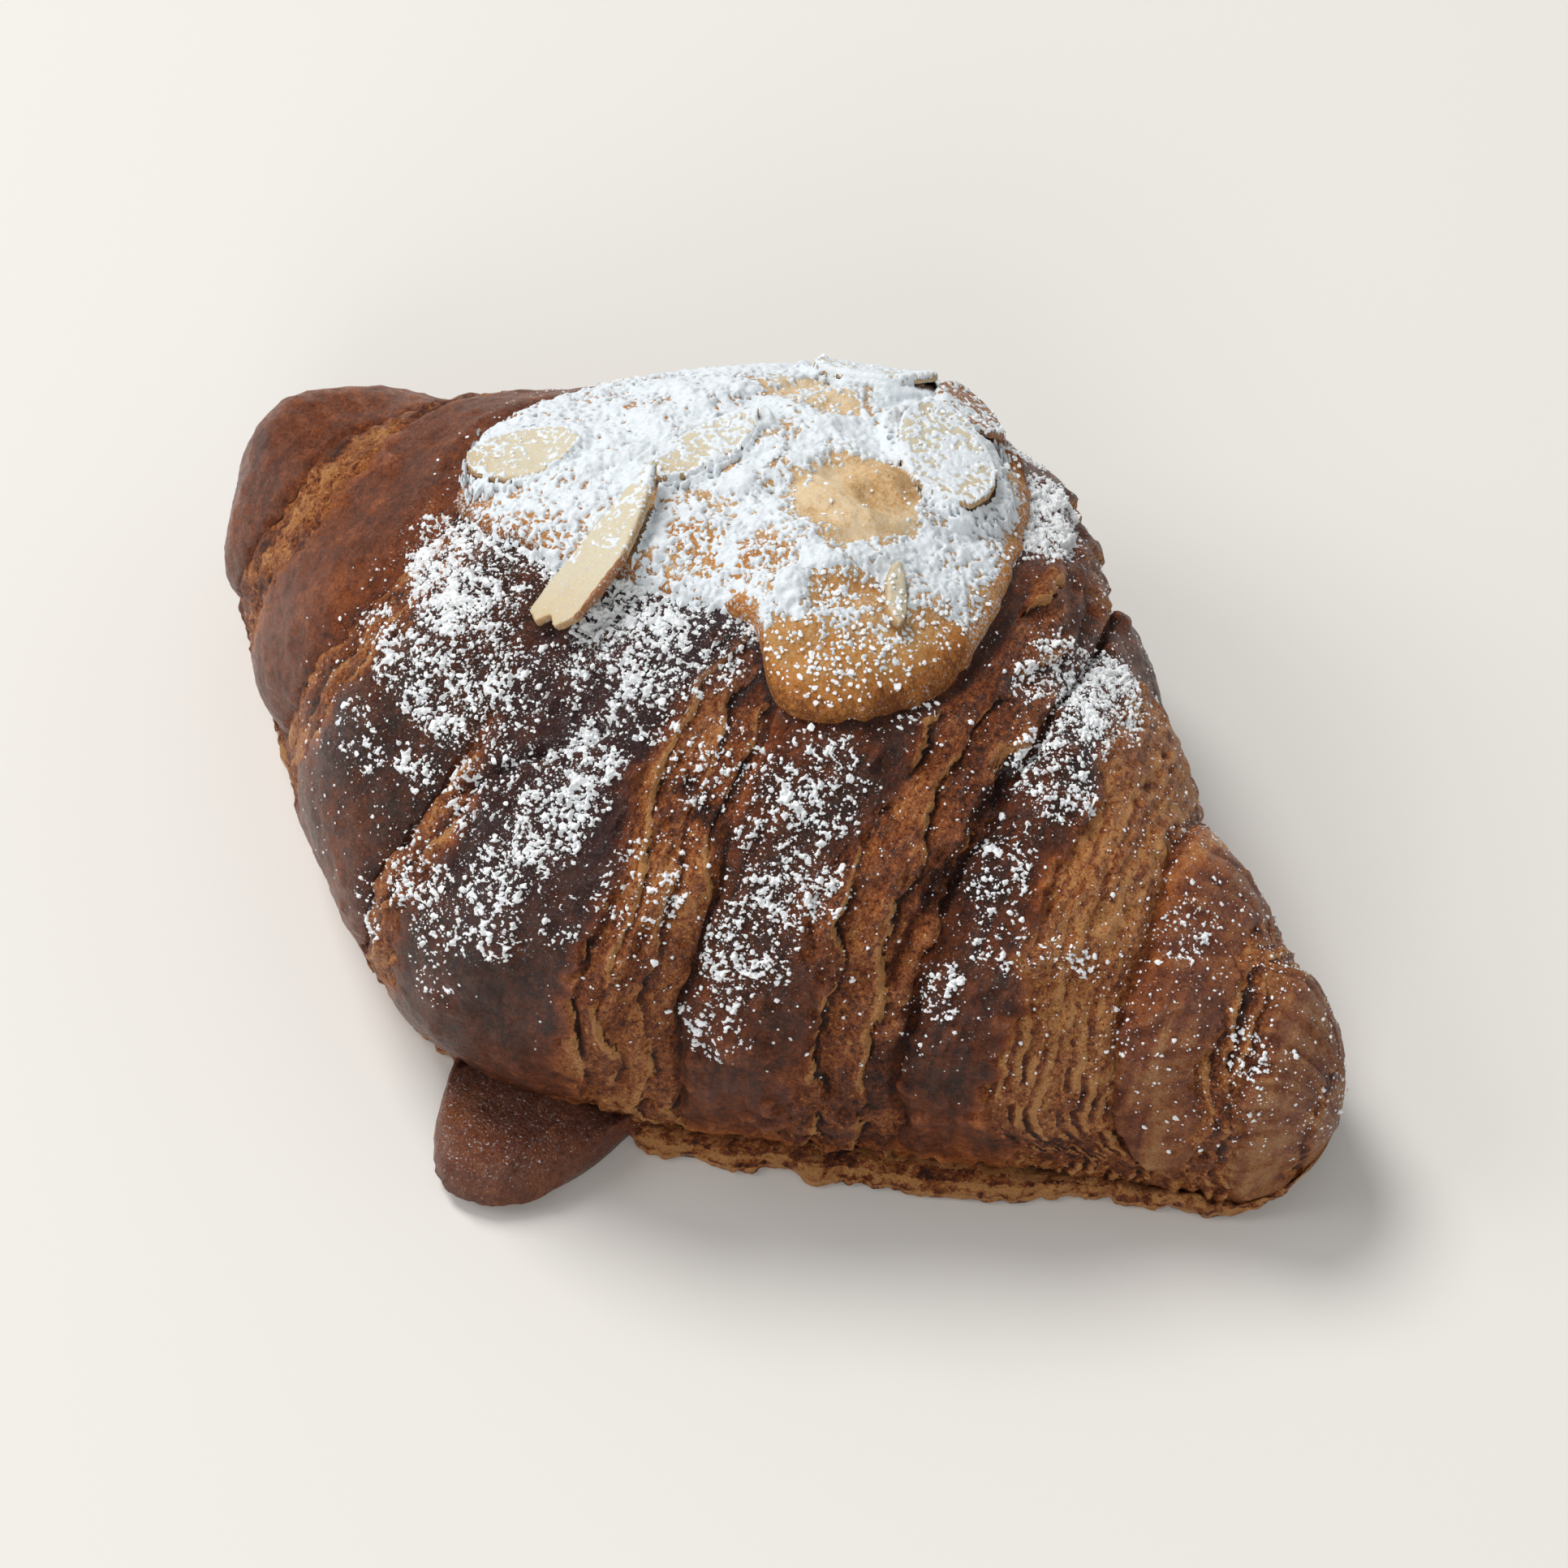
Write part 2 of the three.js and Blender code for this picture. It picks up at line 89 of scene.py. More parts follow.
# Height of a turn across it, as (share of the way to its free edge, height) stations.
TURN_PROFILE = [
    (0, -2.6), (0.08, -0.5), (0.2, 0.7), (0.42, 1.6), (0.64, 1.3), (0.84, 0.1), (0.95, -0.9), (1, -2.6),
]
TURN_CROWN = 0.42
UNEVENNESS = 0.7

# Grid of the crust: lines across each turn, steps up the wall, over the lip and under the foot, and how
# closely the lines crowd at a turn's edges.
TURN_LINES = [44, 62, 68, 114, 76, 70, 52, 34]
WALL_STEPS = 297
LIP_STEPS = 9
FLOOR_STEPS = 7
LINE_CROWDING = 0.35
# A distance that stands for nowhere near, in millimetres, and the number of the sheet at a turn's edge.
FAR = 50
EDGE_SHEET = 50

# Width of the torn, layered band at the free edge of each turn.
LAYERS_LEFT = [0, 5.5, 6.5, 5, 0, 0, 0, 0]
LAYERS_RIGHT = [0, 0, 0, 9, 9.5, 10, 4.5, 2]
# How dark each turn's skin and layers are baked, and how blistered, streaked and crinkled its skin is.
SKIN_BAKE = [0.58, 0.60, 0.91, 0.89, 0.83, 0.85, 0.38, 0.26]
LAYER_BAKE = [0.44, 0.40, 0.44, 0.36, 0.52, 0.18, 0.36, 0.28]
SKIN_BLISTERED = [0.3, 0.2, 0.4, 0.4, 1.2, 1, 0.5, 0.3]
SKIN_STREAKED = [0.06, 0.05, 0.05, 0.06, 0.08, 0.12, 0.18, 0.16]
SKIN_CRINKLED = [0.2, 0.12, 0.5, 1.2, 0.35, 0.4, 0.3, 0.3]
# How far the layers' sheets are apart, how torn they are, and how deep the groove beside them is cut.
# A groove under 0 is filled.
LAYER_PITCH = [2, 2.2, 2.2, 3.2, 4.5, 1.4, 1.8, 1.6]
LAYER_TORN = [0.4, 0.4, 0.5, 1, 1, 0.8, 0.6, 0.5]
GROOVE_CUT = [-1.2, -1.2, -0.8, 0.9, 1, 0.9, 0.4, 0.2]
MM_PER_DEGREE = 0.65
# Heights of the crust's fine relief; that of a torn sheet is a share of the pitch.
SHEET_RISE = 0.34
BAND_DIP = 0.5
BAND_GRIT = 0.3
SKIN_SWELL = 0.35
SKIN_GRAIN = 0.12
CRINKLE_HEIGHT = 0.6
COMB_HEIGHT = 0.3
BLISTER_HEIGHT = 0.6
WRINKLE_HEIGHT = 0.3
HEM_HEIGHT = 0.5
LIP_CRAGS = 0.6
LIP_GRIT = 0.22
# How dark the other places of the crust are: grooves and cracks are painted shade, the rest is baked colour.
GROOVE_SHADE = 0.97
CRACK_SHADE = 1.0
RIDGE_BAKE = 0.25
HEM_BAKE = 0.26
LIP_BAKE = 0.14
TAIL_BAKE = 0.40
# Where along the roll the right tip's wrinkles and its purple cast, partly a painted sheen, begin, and where
# they are full.
TIP_WRINKLED = (50, 57)
TIP_PURPLE_SHEEN = (52, 60)
# A darker, purple patch beside the cream and a smear of sugar: place along, angle, and half sizes.
DARK_PATCH = (2, 76, 6, 7)
SMEAR = (-10.5, 71, 3.5, 4.5)
# Blisters and pits of the skin: place along, angle, radius and height.
BLISTERS = [
    (20.8, 11, 2.8, 0.9), (-51, 88, 2.2, 0.5), (-54, 74, 1.8, 0.5), (17, 58, 2.2, 0.6), (14.5, 70, 2, 0.5),
    (-11, 62, 1.2, -0.9),
]
# Cracks, from one (place along, angle) to another, with their width and depth.
CRACKS = [
    ((-17.5, 44), (-11, 55), 0.7, 1.4), ((-11, 55), (-4.5, 61.5), 0.7, 1.4),
    ((34, 84), (33.2, 56), 0.6, 1.0), ((33.2, 56), (33, 36), 0.6, 1.0),
    ((6.4, 59), (10.3, 54), 0.9, 1.0), ((-18.5, 42.5), (-14, 41.5), 0.8, 0.9),
]
# Golden ridges of dough, from one (place along, angle) to another, with their width and height.
RIDGES = [
    ((11, 74), (12.3, 56), 0.7, 0.7), ((33.8, 51), (34.2, 22), 1.0, 0.9), ((65, 53), (71, 61), 0.6, 0.5),
    ((70.8, 89), (75.5, 98), 0.6, 0.5), ((8.2, 40), (7.2, 8), 0.6, 0.6), ((11, 30), (10.6, -20), 0.7, 0.6),
]

# Lip of crust round the foot and the tail at the front.
LIP_OUT = 2
LIP_THICKNESS = 2.4
LIP_TUCK = 0.25
FRONT_LIP = {"from": 6, "to": 66, "fade_in": 6, "fade_out": 20, "out": 3.4}
TAIL = {"at": -2.8, "half_width": 10.5, "out": 17.5, "thickness": 7.5, "root": 5}

# The cap of almond cream in plan.
CREAM_OUTLINE = [
    (-12, 39), (-30, 26), (-40, 8), (-37, -5), (-25, -10), (-8, -9), (3, -9), (10, -15),
    (18, -13), (24, 0), (23, 14), (17, 30), (5, 41),
]
OUTLINE_STEPS = 480
CREAM_CENTRE = (-6, 11)
CREAM_THICKNESS = 2.8
CREAM_THIN = {"from": -35, "to": 5, "share": 0.6}
CREAM_LOBE = {"at": (14, -5), "radius": 13, "rise": 1.6}
CREAM_SETTLE = (0.5, 3.5)
CREAM_LINES = 340
CREAM_STEPS = 76
CREAM_SKIRT = 2.2
CREAM_DEPTH = 2.5
# Share of the way to the cream's edge within which it hides the crust.
CREAM_HIDES = 0.97
GAP = 0.35
# Bare golden places on the sugared cap: place, half sizes, how bare and how toasted.
BARE_SPOTS = [
    ((5, 10.3), (7.2, 7.4), 1.0, 0.12), ((6.5, 14), (4.5, 4.5), 1.0, 0.30), ((-9, 25), (7.5, 4), 0.7, 0.12),
    ((15, -12), (10, 7), 0.92, 0.58), ((20.5, -4), (4.5, 8), 0.75, 0.6), ((15, -3), (8, 5), 0.45, 0.5),
    ((-3, -3), (8, 4), 0.35, 0.6), ((15, 36), (7, 7), 0.95, 0.75),
]

# Almond slices, and how much of each the sugar covers.
SLICE_COVER = {
    "almond_slice_long": 0.15,
    "almond_slice_left": 0.20,
    "almond_slice_middle": 0.62,
    "almond_slice_right": 0.80,
    "almond_sliver": 0.10,
    "almond_slice_back": 0.80,
    "almond_slice_corner": 0.55,
}
# The slice whose back end is under the sugar, from one place in plan to another.
BURIED = {"slice": "almond_slice_long", "from": -9, "to": 1, "cover": 0.8}
# Slices that the sugar isn't banked up against.
LOOSE = ("almond_slice_long", "almond_sliver")
# The sugar banked up against a slice: steps of the drift's grid out from it, and its fall at each.
BANK_STEPS = 14
BANK_DROP = 0.08
# Slices with brown skin, and where it starts across the slice, from -1 at its left side to 1 at its right.
SKINNED = {"almond_slice_long": 0.8, "almond_slice_middle": 0.8, "almond_slice_corner": -1.2}
# Finest detail of a slice and height of its grain, in metres.
ALMOND_VOXEL = 0.0003
ALMOND_GRAIN = 0.00010

# Powdered sugar on the crust: place along the roll, angle round it, half sizes, and cover.
SUGAR_PATCHES = [
    (-35, 76, 6, 7, 0.40), (-29, 71, 8, 9, 0.62), (-25, 57, 8, 8, 0.37), (-33, 56, 6, 6, 0.22),
    (-32, 40, 5, 6, 0.12), (-39, 57, 3, 6, 0.16), (-23, 44, 4, 4, 0.14), (-18, 64, 5, 5, 0.16),
    (-12, 66, 5, 6, 0.18), (-11, 76, 4, 5, 0.72), (-6, 78, 5, 5, 0.56), (-3, 71, 5, 5, 0.45),
    (2, 75, 4, 5, 0.32), (4, 83, 4, 4, 0.66), (8, 87, 3, 4, 0.72), (0, 65, 4, 4, 0.14),
    (-8, 68, 4, 4, 0.20), (-5, 50, 5, 15, 0.43), (-8, 36, 5, 6, 0.32), (-13, 24, 5, 10, 0.18),
    # The patch at (-24, 8) is partly sugar dust, partly a painted highlight on the glossy skin.
    (-6, 27, 4, 7, 0.18), (0, 31, 4, 6, 0.08), (-24, 8, 3, 10, 0.18), (-15, 50, 5, 12, 0.18),
    (7, 40, 5, 12, 0.09), (8, 62, 5, 8, 0.10), (18, 62, 6, 12, 0.24), (21, 48, 5, 8, 0.40),
    (19, 34, 5, 12, 0.24), (18, 14, 5, 8, 0.10), (20, 84, 6, 7, 0.06), (37, 116, 5, 20, 0.45),
    (38, 90, 5, 8, 0.28), (31, 107, 3, 10, 0.28), (38, 68, 4, 12, 0.10), (42, 54, 4, 8, 0.12),
    (48, 57, 3, 6, 0.10), (38, 38, 3, 8, 0.12), (20, 134, 5, 14, 0.70), (57, 86, 4, 18, 0.05),
    (68, 56, 4, 14, 0.07), (74, 8, 2.5, 12, 0.16), (65, 12, 3, 14, 0.06), (-20, 142, 18, 12, 0.40),
    # The patches at (-19, 27) and (-12, 8) are partly sugar dust, partly a painted highlight on the glossy
    # skin.
    (0, 150, 14, 10, 0.30), (18, 120, 4, 8, 0.40), (-19, 27, 4, 9, 0.12), (-12, 8, 5, 8, 0.08),
]
# Sugar that lies thinly over the top of the roll, right of this place.
SPRINKLED = {"from": -48, "to": -38, "cover": 0.05}
# Loose sugar: how many lumps, and their radii.
CRUST_GRAINS = 4600
CRUST_SPECKS = 18000
CREAM_GRAINS = 1500
GRAIN_RADII = {"median": 0.19, "spread": 0.35, "least": 0.09, "most": 0.42}
SPECK_RADII = {"median": 0.11, "spread": 0.30, "least": 0.06, "most": 0.18}
# The plans that the cream's thick sugar and its grains are made over, the step of the thick sugar's grid,
# and the step of a surface at which a sheet of sugar parts.
DRIFT_LOW, DRIFT_HIGH = (-42, -17), (27, 44)
GRAINS_LOW, GRAINS_HIGH = (-40, -16), (25, 42)
DRIFT_STEP = 0.165
SHEET_STEP = 0.7

# The photograph's camera, and where the roll's middle is in the picture.
AZIMUTH = math.radians(30.6)
ELEVATION = math.radians(55.0)
DISTANCE = 0.430
SENSOR_WIDTH = 36
PHOTO_SIDE = 1932
PHOTO_CENTRE = (945, 908)
PIXELS_PER_MM = 10.6
SCREEN_RIGHT = np.array([math.cos(AZIMUTH), math.sin(AZIMUTH), 0])

# Screen colours: those along a ramp, each with its place, and those that lie over them.
CRUST_COLOURS = [
    (0.0, (236, 168, 102)), (0.2, (202, 122, 63)), (0.4, (163, 88, 43)), (0.55, (131, 66, 32)),
    (0.7, (103, 51, 24)), (0.85, (74, 36, 20)), (1.0, (47, 25, 18)),
]
CREAM_COLOURS = [
    (0.0, (210, 192, 162)), (0.3, (208, 174, 128)), (0.55, (212, 154, 90)), (0.75, (200, 130, 64)),
    (1.0, (128, 74, 38)),
]
ALMOND_COLOURS = [(0.0, (202, 192, 166)), (0.6, (197, 177, 142)), (1.0, (176, 140, 96))]
ALMOND_SKIN = (150, 102, 66)
# A purple cast, partly a painted sheen.
PURPLE_AND_SHEEN = (70, 49, 51)
CRUST_DUST = (232, 234, 236)
CREAM_DUST = (214, 216, 216)
ALMOND_DUST = (214, 214, 212)
LOOSE_SUGAR = (236, 239, 241)
# The thick sugar is the same sugar painted darker: a painted shade that offsets its smooth shading.
SHADED_SUGAR = (218, 225, 230)
FLOOR_COLOUR = (221, 219, 215)
# The light from all round: its colour, as linear values, and its strength.
WORLD_COLOUR = (1.0, 0.995, 0.985, 1.0)
WORLD_STRENGTH = 0.38
# Half the floor's side in metres, and the height in millimetres that the camera and the lights point at.
FLOOR_HALF = 6
AIM_HEIGHT = 20

rng = np.random.default_rng(20)


# Curves and noise

def smoothstep(x, low, high):
    t = np.clip((x - low) / (high - low), 0, 1)
    return t * t * (3 - 2 * t)


def fade(x, low, high):
    """1 up to low and 0 from high on."""
    return 1 - smoothstep(x, low, high)


def mix(a, b, t):
    return a + (b - a) * t


def through(stations, x):
    """A smooth curve through (x, y) stations, with Catmull-Rom slopes."""
    xs, ys = np.asarray(stations, float).T
    slope = np.empty_like(ys)
    slope[1:-1] = (ys[2:] - ys[:-2]) / (xs[2:] - xs[:-2])
    slope[0] = (ys[1] - ys[0]) / (xs[1] - xs[0])
    slope[-1] = (ys[-1] - ys[-2]) / (xs[-1] - xs[-2])
    x = np.clip(x, xs[0], xs[-1])
    i = np.clip(np.searchsorted(xs, x, side="right") - 1, 0, len(xs) - 2)
    span = xs[i + 1] - xs[i]
    t = (x - xs[i]) / span
    bend = (1 - t) * slope[i] - t * slope[i + 1]
    return mix(ys[i], ys[i + 1], t * t * (3 - 2 * t)) + span * t * (1 - t) * bend


def noise(*axes, seed=0):
    """Smooth noise in -1 to 1 over one to three axes, one cell a unit."""
    axes = np.broadcast_arrays(*axes)
    cells = [np.floor(a).astype(np.int64) for a in axes]
    parts = [a - c for a, c in zip(axes, cells)]
    ease = [f * f * (3 - 2 * f) for f in parts]
    total = np.zeros(axes[0].shape)
    for corner in itertools.product((0, 1), repeat=len(axes)):
        h = np.full(axes[0].shape, 7919 * seed + 13, np.int64)
        weight = np.ones(axes[0].shape)
        for c, e, k, prime in zip(cells, ease, corner, (374761393, 668265263, 1440662683)):
            h = h + (c + k) * prime
            weight = weight * (e if k else 1 - e)
        h = (h ^ (h >> 13)) * 1274126177
        h = (h ^ (h >> 16)) & 0xFFFF
        total += weight * (h / 32767.5 - 1)
    return total


def rough(*axes, seed=0):
    """Noise summed over three octaves, each half as wide and half as strong as the one before."""
    total = 0
    for k in range(3):
        total = total + noise(*(np.asarray(a) * 2**k for a in axes), seed=seed + k) / 2**k
    return total / 1.6


def grainy(points, size, seed):
    """Noise in space over an array of points, one cell a size."""
    return noise(*(points[..., k] / size for k in range(3)), seed=seed)


def craggy(points, size, seed):
    """Rough noise in space over an array of points, its widest cells a size."""
    return rough(*(points[..., k] / size for k in range(3)), seed=seed)


def patchy(x, y, size, seed):
    """Rough noise in plan, its widest cells a size."""
    return rough(x / size, y / size, seed=seed)


# The roll's form, as its solid has it

def seam_place(seam, angle):
    """A seam's place along the roll at an angle: 0 is the front, 90 the crest and 180 the back."""
    front, crest, back = SEAMS[seam]
    t = np.clip(angle, -30, 210) / 90 - 1
    a = np.radians(angle)
    wave = SEAM_WAVE * (np.sin(3 * a + 2.1 * seam) + 0.6 * np.sin(7 * a + seam))
    ragged = 0.4 * noise(angle / 6 + 40 * seam, seed=3) + 0.2 * noise(angle / 2 + 40 * seam, seed=4)
    return crest + t * (back - front) / 2 + t * t * ((back + front) / 2 - crest) + wave + ragged


def tip_taper(s):
    into = np.clip(1 - (HALF_LENGTH - np.abs(s)) / TIP_ROUNDING, 0, 1)
    return np.sqrt(1 - into * into)


def section_at(s):
    """The smooth roll's cross-section at places along it."""
    taper = tip_taper(s)
    crest = through(CREST_LINE, s)
    height = through(CREST_HEIGHT, s)
    waist = WAIST_SHARE * height
    return SimpleNamespace(
        taper=taper,
        crest=crest,
        waist=waist,
        front=(crest - through(FRONT_EDGE, s)) * taper,
        back=(through(BACK_EDGE, s) - crest) * taper,
        rise=(height - waist) * taper,
        drop=waist * taper,
    )


def section_point(section, angle):
    out, up = np.cos(np.radians(angle)), np.sin(np.radians(angle))
    side = np.sign(out) * np.where(out >= 0, section.front, section.back)
    low = up < 0
    y = section.crest - side * np.where(low, 1 - UNDERCUT * (1 - np.abs(out)), np.abs(out) ** FULLNESS)
    z = section.waist + np.where(low, section.drop * up, section.rise * np.abs(up) ** FULLNESS)
    return y, z


def uneven(s, angle):
    a = np.radians(angle)
    swell = np.sin(0.17 * s + 2.3 * a) * np.sin(3.1 * a + 0.5)
    return UNEVENNESS * (swell + 0.6 * np.sin(0.41 * s - 4.3 * a))


def closed_curve(points, steps):
    """A closed uniform Catmull-Rom curve through points."""
    p = np.asarray(points, float)
    at = np.linspace(0, len(p), steps, endpoint=False)
    i = np.floor(at).astype(int)
    t = (at - i)[:, None]
    a, b, c, d = (p[(i + k) % len(p)] for k in (-1, 0, 1, 2))
    return 0.5 * (2 * b + (c - a) * t + (2 * a - 5 * b + 4 * c - d) * t**2 + (3 * b - a - 3 * c + d) * t**3)


cream_curve = closed_curve(np.asarray(CREAM_OUTLINE, float) - CREAM_CENTRE, OUTLINE_STEPS)
ray_angle = np.arctan2(cream_curve[:, 1], cream_curve[:, 0])
ray_order = np.argsort(ray_angle)


def cream_reach(direction):
    return np.interp(direction, ray_angle[ray_order], np.hypot(*cream_curve.T)[ray_order], period=2 * math.pi)


def from_cream_centre(x, y):
    """Distance from the cream's centre, and the cream's reach that way."""
    dx, dy = x - CREAM_CENTRE[0], y - CREAM_CENTRE[1]
    return np.hypot(dx, dy), cream_reach(np.arctan2(dy, dx))


def cream_share(x, y):
    """0 at the cream's centre and 1 at its edge."""
    away, reach = from_cream_centre(x, y)
    return away / reach


def under_cream(x, y):
    away, reach = from_cream_centre(x, y)
    return fade(away, reach + CREAM_SETTLE[0], reach + CREAM_SETTLE[1])


def normals_of(points):
    """Unit normals of a grid of points; its second axis closes on itself."""
    du = np.gradient(points, axis=0)
    dv = (np.roll(points, -1, 1) - np.roll(points, 1, 1)) / 2
    n = np.cross(du, dv)
    n = n / (np.linalg.norm(n, axis=-1, keepdims=True) + 1e-9)
    top = np.unravel_index(np.argmax(points[..., 2]), points.shape[:2])
    return n if n[top][2] > 0 else -n


def wall_grid():
    """The wall of the roll as lines along it by steps round it, with what each vertex belongs to."""
    turns = np.concatenate([np.full(n, k) for k, n in enumerate(TURN_LINES)] + [[len(SEAMS)]])
    shares = np.concatenate([np.linspace(0, 1, n, endpoint=False) for n in TURN_LINES] + [[1]])
    # Lines crowd towards the ends of each turn, where its edges are.
    shares = shares - LINE_CROWDING * np.sin(2 * math.pi * shares) / (2 * math.pi)
    angles = np.linspace(FOOT_ANGLE, 180 - FOOT_ANGLE, WALL_STEPS)
    seams = np.stack([seam_place(k, angles) for k in range(len(SEAMS))])
    ends = np.full((1, WALL_STEPS), HALF_LENGTH)
    left_end = np.concatenate([-ends, seams])[turns]
    right_end = np.concatenate([seams, ends])[turns]
    grid = SimpleNamespace()
    grid.turn = turns[:, None] * np.ones(WALL_STEPS, int)
    grid.angle = np.ones((len(turns), 1)) * angles
    share = shares[:, None] * np.ones(WALL_STEPS)
    s = mix(left_end, right_end, share)
    section = section_at(s)
    y, z = section_point(section, grid.angle)
    before = section_point(section, grid.angle - 2)
    after = section_point(section, grid.angle + 2)
    out = np.stack([before[1] - after[1], after[0] - before[0]])
    out = out / (np.hypot(*out) + 1e-9)

    # Which way a turn faces: its free edge is its left one on the left of the middle turn, and its right
    # one on the right of it. The middle turn has two.
    middle = grid.turn == MIDDLE_TURN
    faces_left = grid.turn < MIDDLE_TURN
    across = np.where(faces_left, 1 - share, share)
    across = np.where(middle, mix(TURN_CROWN, 1, np.abs(2 * share - 1)), across)
    depth = np.array([SEAM_DEPTH[0]] + SEAM_DEPTH + [SEAM_DEPTH[-1]])
    shut = smoothstep(grid.angle, SHUT_SEAM["from"], SHUT_SEAM["to"])
    still_open = 1 - SHUT_SEAM["by"] * shut
    left_depth = depth[grid.turn] * np.where(grid.turn == SHUT_SEAM["seam"] + 1, still_open, 1)
    right_depth = depth[grid.turn + 1] * np.where(grid.turn == SHUT_SEAM["seam"], still_open, 1)
    grid.depth = mix(left_depth, right_depth, share)
    tip_fade = np.where(grid.turn == 0, smoothstep(share, 0.1, 0.6), 1)
    grid.tip_fade = np.where(grid.turn == len(SEAMS), fade(share, 0, 0.5), tip_fade)
    grid.bare = (1 - under_cream(s, y)) * section.taper
    to_foot = smoothstep(np.sin(np.radians(grid.angle)), math.sin(math.radians(FOOT_ANGLE)), 0.1)
    turns_lift = through(TURN_PROFILE, across) * grid.depth * grid.tip_fade * (1 - under_cream(s, y))
    lift = (turns_lift + uneven(s, grid.angle)) * to_foot * section.taper
    height = z + out[1] * lift
    root = np.where(grid.angle < 0, TAIL["root"] * tail_lobe(s), 0)
    points = np.stack([s, y + out[0] * lift, np.where(height < root, mix(root, height, 0.2), height)], -1)

    # How far each vertex is from its turn's free edge, and how wide the layered band is there.
    from_left = share * (right_end - left_end)
    from_right = (1 - share) * (right_end - left_end)
    grid.to_edge = np.where(faces_left, from_left, from_right)
    grid.to_edge = np.where(middle, np.minimum(from_left, from_right), grid.to_edge)
    grid.to_groove = np.where(middle, FAR, np.where(faces_left, from_right, from_left))
    left_side = faces_left | (middle & (share < 0.5))
    grid.layers = np.where(left_side, np.array(LAYERS_LEFT)[grid.turn], np.array(LAYERS_RIGHT)[grid.turn])
    grid.layers = grid.layers * np.where(left_side & middle, 1 - shut, 1)
    return points, grid, section


def tail_lobe(s):
    """1 in the middle of the tail, falling on a circle to 0 at its sides."""
    across = np.clip(np.abs(s - TAIL["at"]) / TAIL["half_width"], 0, 1)
    return np.sqrt(1 - across * across)


def foot_lip(s, side):
    """How far the lip or the tail reaches out from the wall, and its thickness."""
    out = np.full_like(s, LIP_OUT)
    thickness = np.full_like(s, LIP_THICKNESS)
    if side < 0:
        begun = smoothstep(s, FRONT_LIP["from"], FRONT_LIP["from"] + FRONT_LIP["fade_in"])
        ended = smoothstep(s, FRONT_LIP["to"] - FRONT_LIP["fade_out"], FRONT_LIP["to"])
        out = out + FRONT_LIP["out"] * begun * (1 - ended) * (0.9 + 0.1 * np.sin(0.45 * s))
        lobe = tail_lobe(s)
        ragged = 0.7 * noise(s / 4.1, seed=21) + 0.45 * noise(s / 1.3, seed=22)
        out = np.maximum(out + ragged * (1 - lobe), TAIL["out"] * lobe)
        thickness = mix(thickness, TAIL["thickness"], np.sqrt(lobe))
    return out, thickness


def foot_rows(points, section, side):
    """Rows from the wall's foot over the lip to its edge on the floor."""
    end = 0 if side < 0 else -1
    taper, waist = section.taper[:, end], section.waist[:, end]
    s, wall_y, wall_z = points[:, end].T
    floor = waist * (1 - taper)
    out, thickness = foot_lip(s, side)
    thickness = thickness * taper
    edge = wall_y + side * out * taper
    rows = []
    for k in range(LIP_STEPS - 1, 0, -1):
        turn_in = k / LIP_STEPS * 0.5 * math.pi
        y = mix(wall_y, edge, math.cos(turn_in) ** 0.7)
        z = floor + (wall_z - floor) * math.sin(turn_in) ** 3 + 0.8 * thickness * math.sin(2 * turn_in)
        rows.append(np.stack([s, y, z], -1))
    rows.append(np.stack([s, edge - side * LIP_TUCK * thickness, floor], -1))
    return rows


# Meshes

def add_to_scene(name, data):
    made = bpy.data.objects.new(name, data)
    bpy.context.scene.collection.objects.link(made)
    return made


def add_piece(name, mesh, attributes, smooth=True):
    """A piece of the croissant from a mesh; attributes hold one number a vertex."""
    for key, values in attributes.items():
        attribute = mesh.attributes.new(key, "FLOAT", "POINT")
        attribute.data.foreach_set("value", np.ravel(values).astype(np.float32))
    if smooth:
        mesh.shade_smooth()
    mesh.update()
    piece = add_to_scene(name, mesh)
    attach(piece, "root")
    return piece


def new_object(name, points, faces, attributes=None, smooth=True):
    """A piece of the croissant from millimetre points in the roll's frame."""
    mesh = bpy.data.meshes.new(name)
    placed = (np.asarray(points, float).reshape(-1, 3) + shift) / 1000
    mesh.from_pydata(placed.tolist(), [], faces)
    return add_piece(name, mesh, attributes or {}, smooth)


def grid_faces(rows, columns, wrap):
    i = np.arange(rows * columns).reshape(rows, columns)
    j = np.roll(i, -1, 1) if wrap else i[:, 1:]
    i = i if wrap else i[:, :-1]
    return np.stack([i[:-1], i[1:], j[1:], j[:-1]], -1).reshape(-1, 4)


# Crust

wall_points, wall, section = wall_grid()
front_rows = foot_rows(wall_points, section, -1)
back_rows = foot_rows(wall_points, section, 1)
floor_rows = [mix(back_rows[-1], front_rows[-1], k / FLOOR_STEPS) for k in range(1, FLOOR_STEPS)]
ring = [wall_points] + [r[:, None] for r in back_rows + floor_rows + front_rows[::-1]]
form_points = np.concatenate(ring, 1)
n_lines, n_ring = form_points.shape[:2]
low, high = form_points.reshape(-1, 3).min(0), form_points.reshape(-1, 3).max(0)
node_low, node_high = (np.array(v) * 1000 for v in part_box("croissant"))
shift = (node_low + node_high - low - high) / 2
shift[1] = node_high[1] - high[1]
shift[2] = node_low[2] - low[2]


def widened(values, fill):
    """Wall values with a fill for the rows of the foot."""
    out = np.full((n_lines, n_ring), float(fill))
    out[:, :WALL_STEPS] = values
    return out


X, Y, Z = (form_points[..., k] for k in range(3))
ANGLE = widened(wall.angle, -80)
turn = widened(wall.turn, 0).astype(int)
on_wall = widened(1, 0)
to_edge = widened(wall.to_edge, FAR)
to_groove = widened(wall.to_groove, FAR)
bare = widened(wall.bare, 0)
tip_fade = widened(wall.tip_fade, 0)
seam_depth = widened(wall.depth, 0)
low_wall = on_wall * fade(ANGLE, -15, 25) * smoothstep(X, -8, 8)


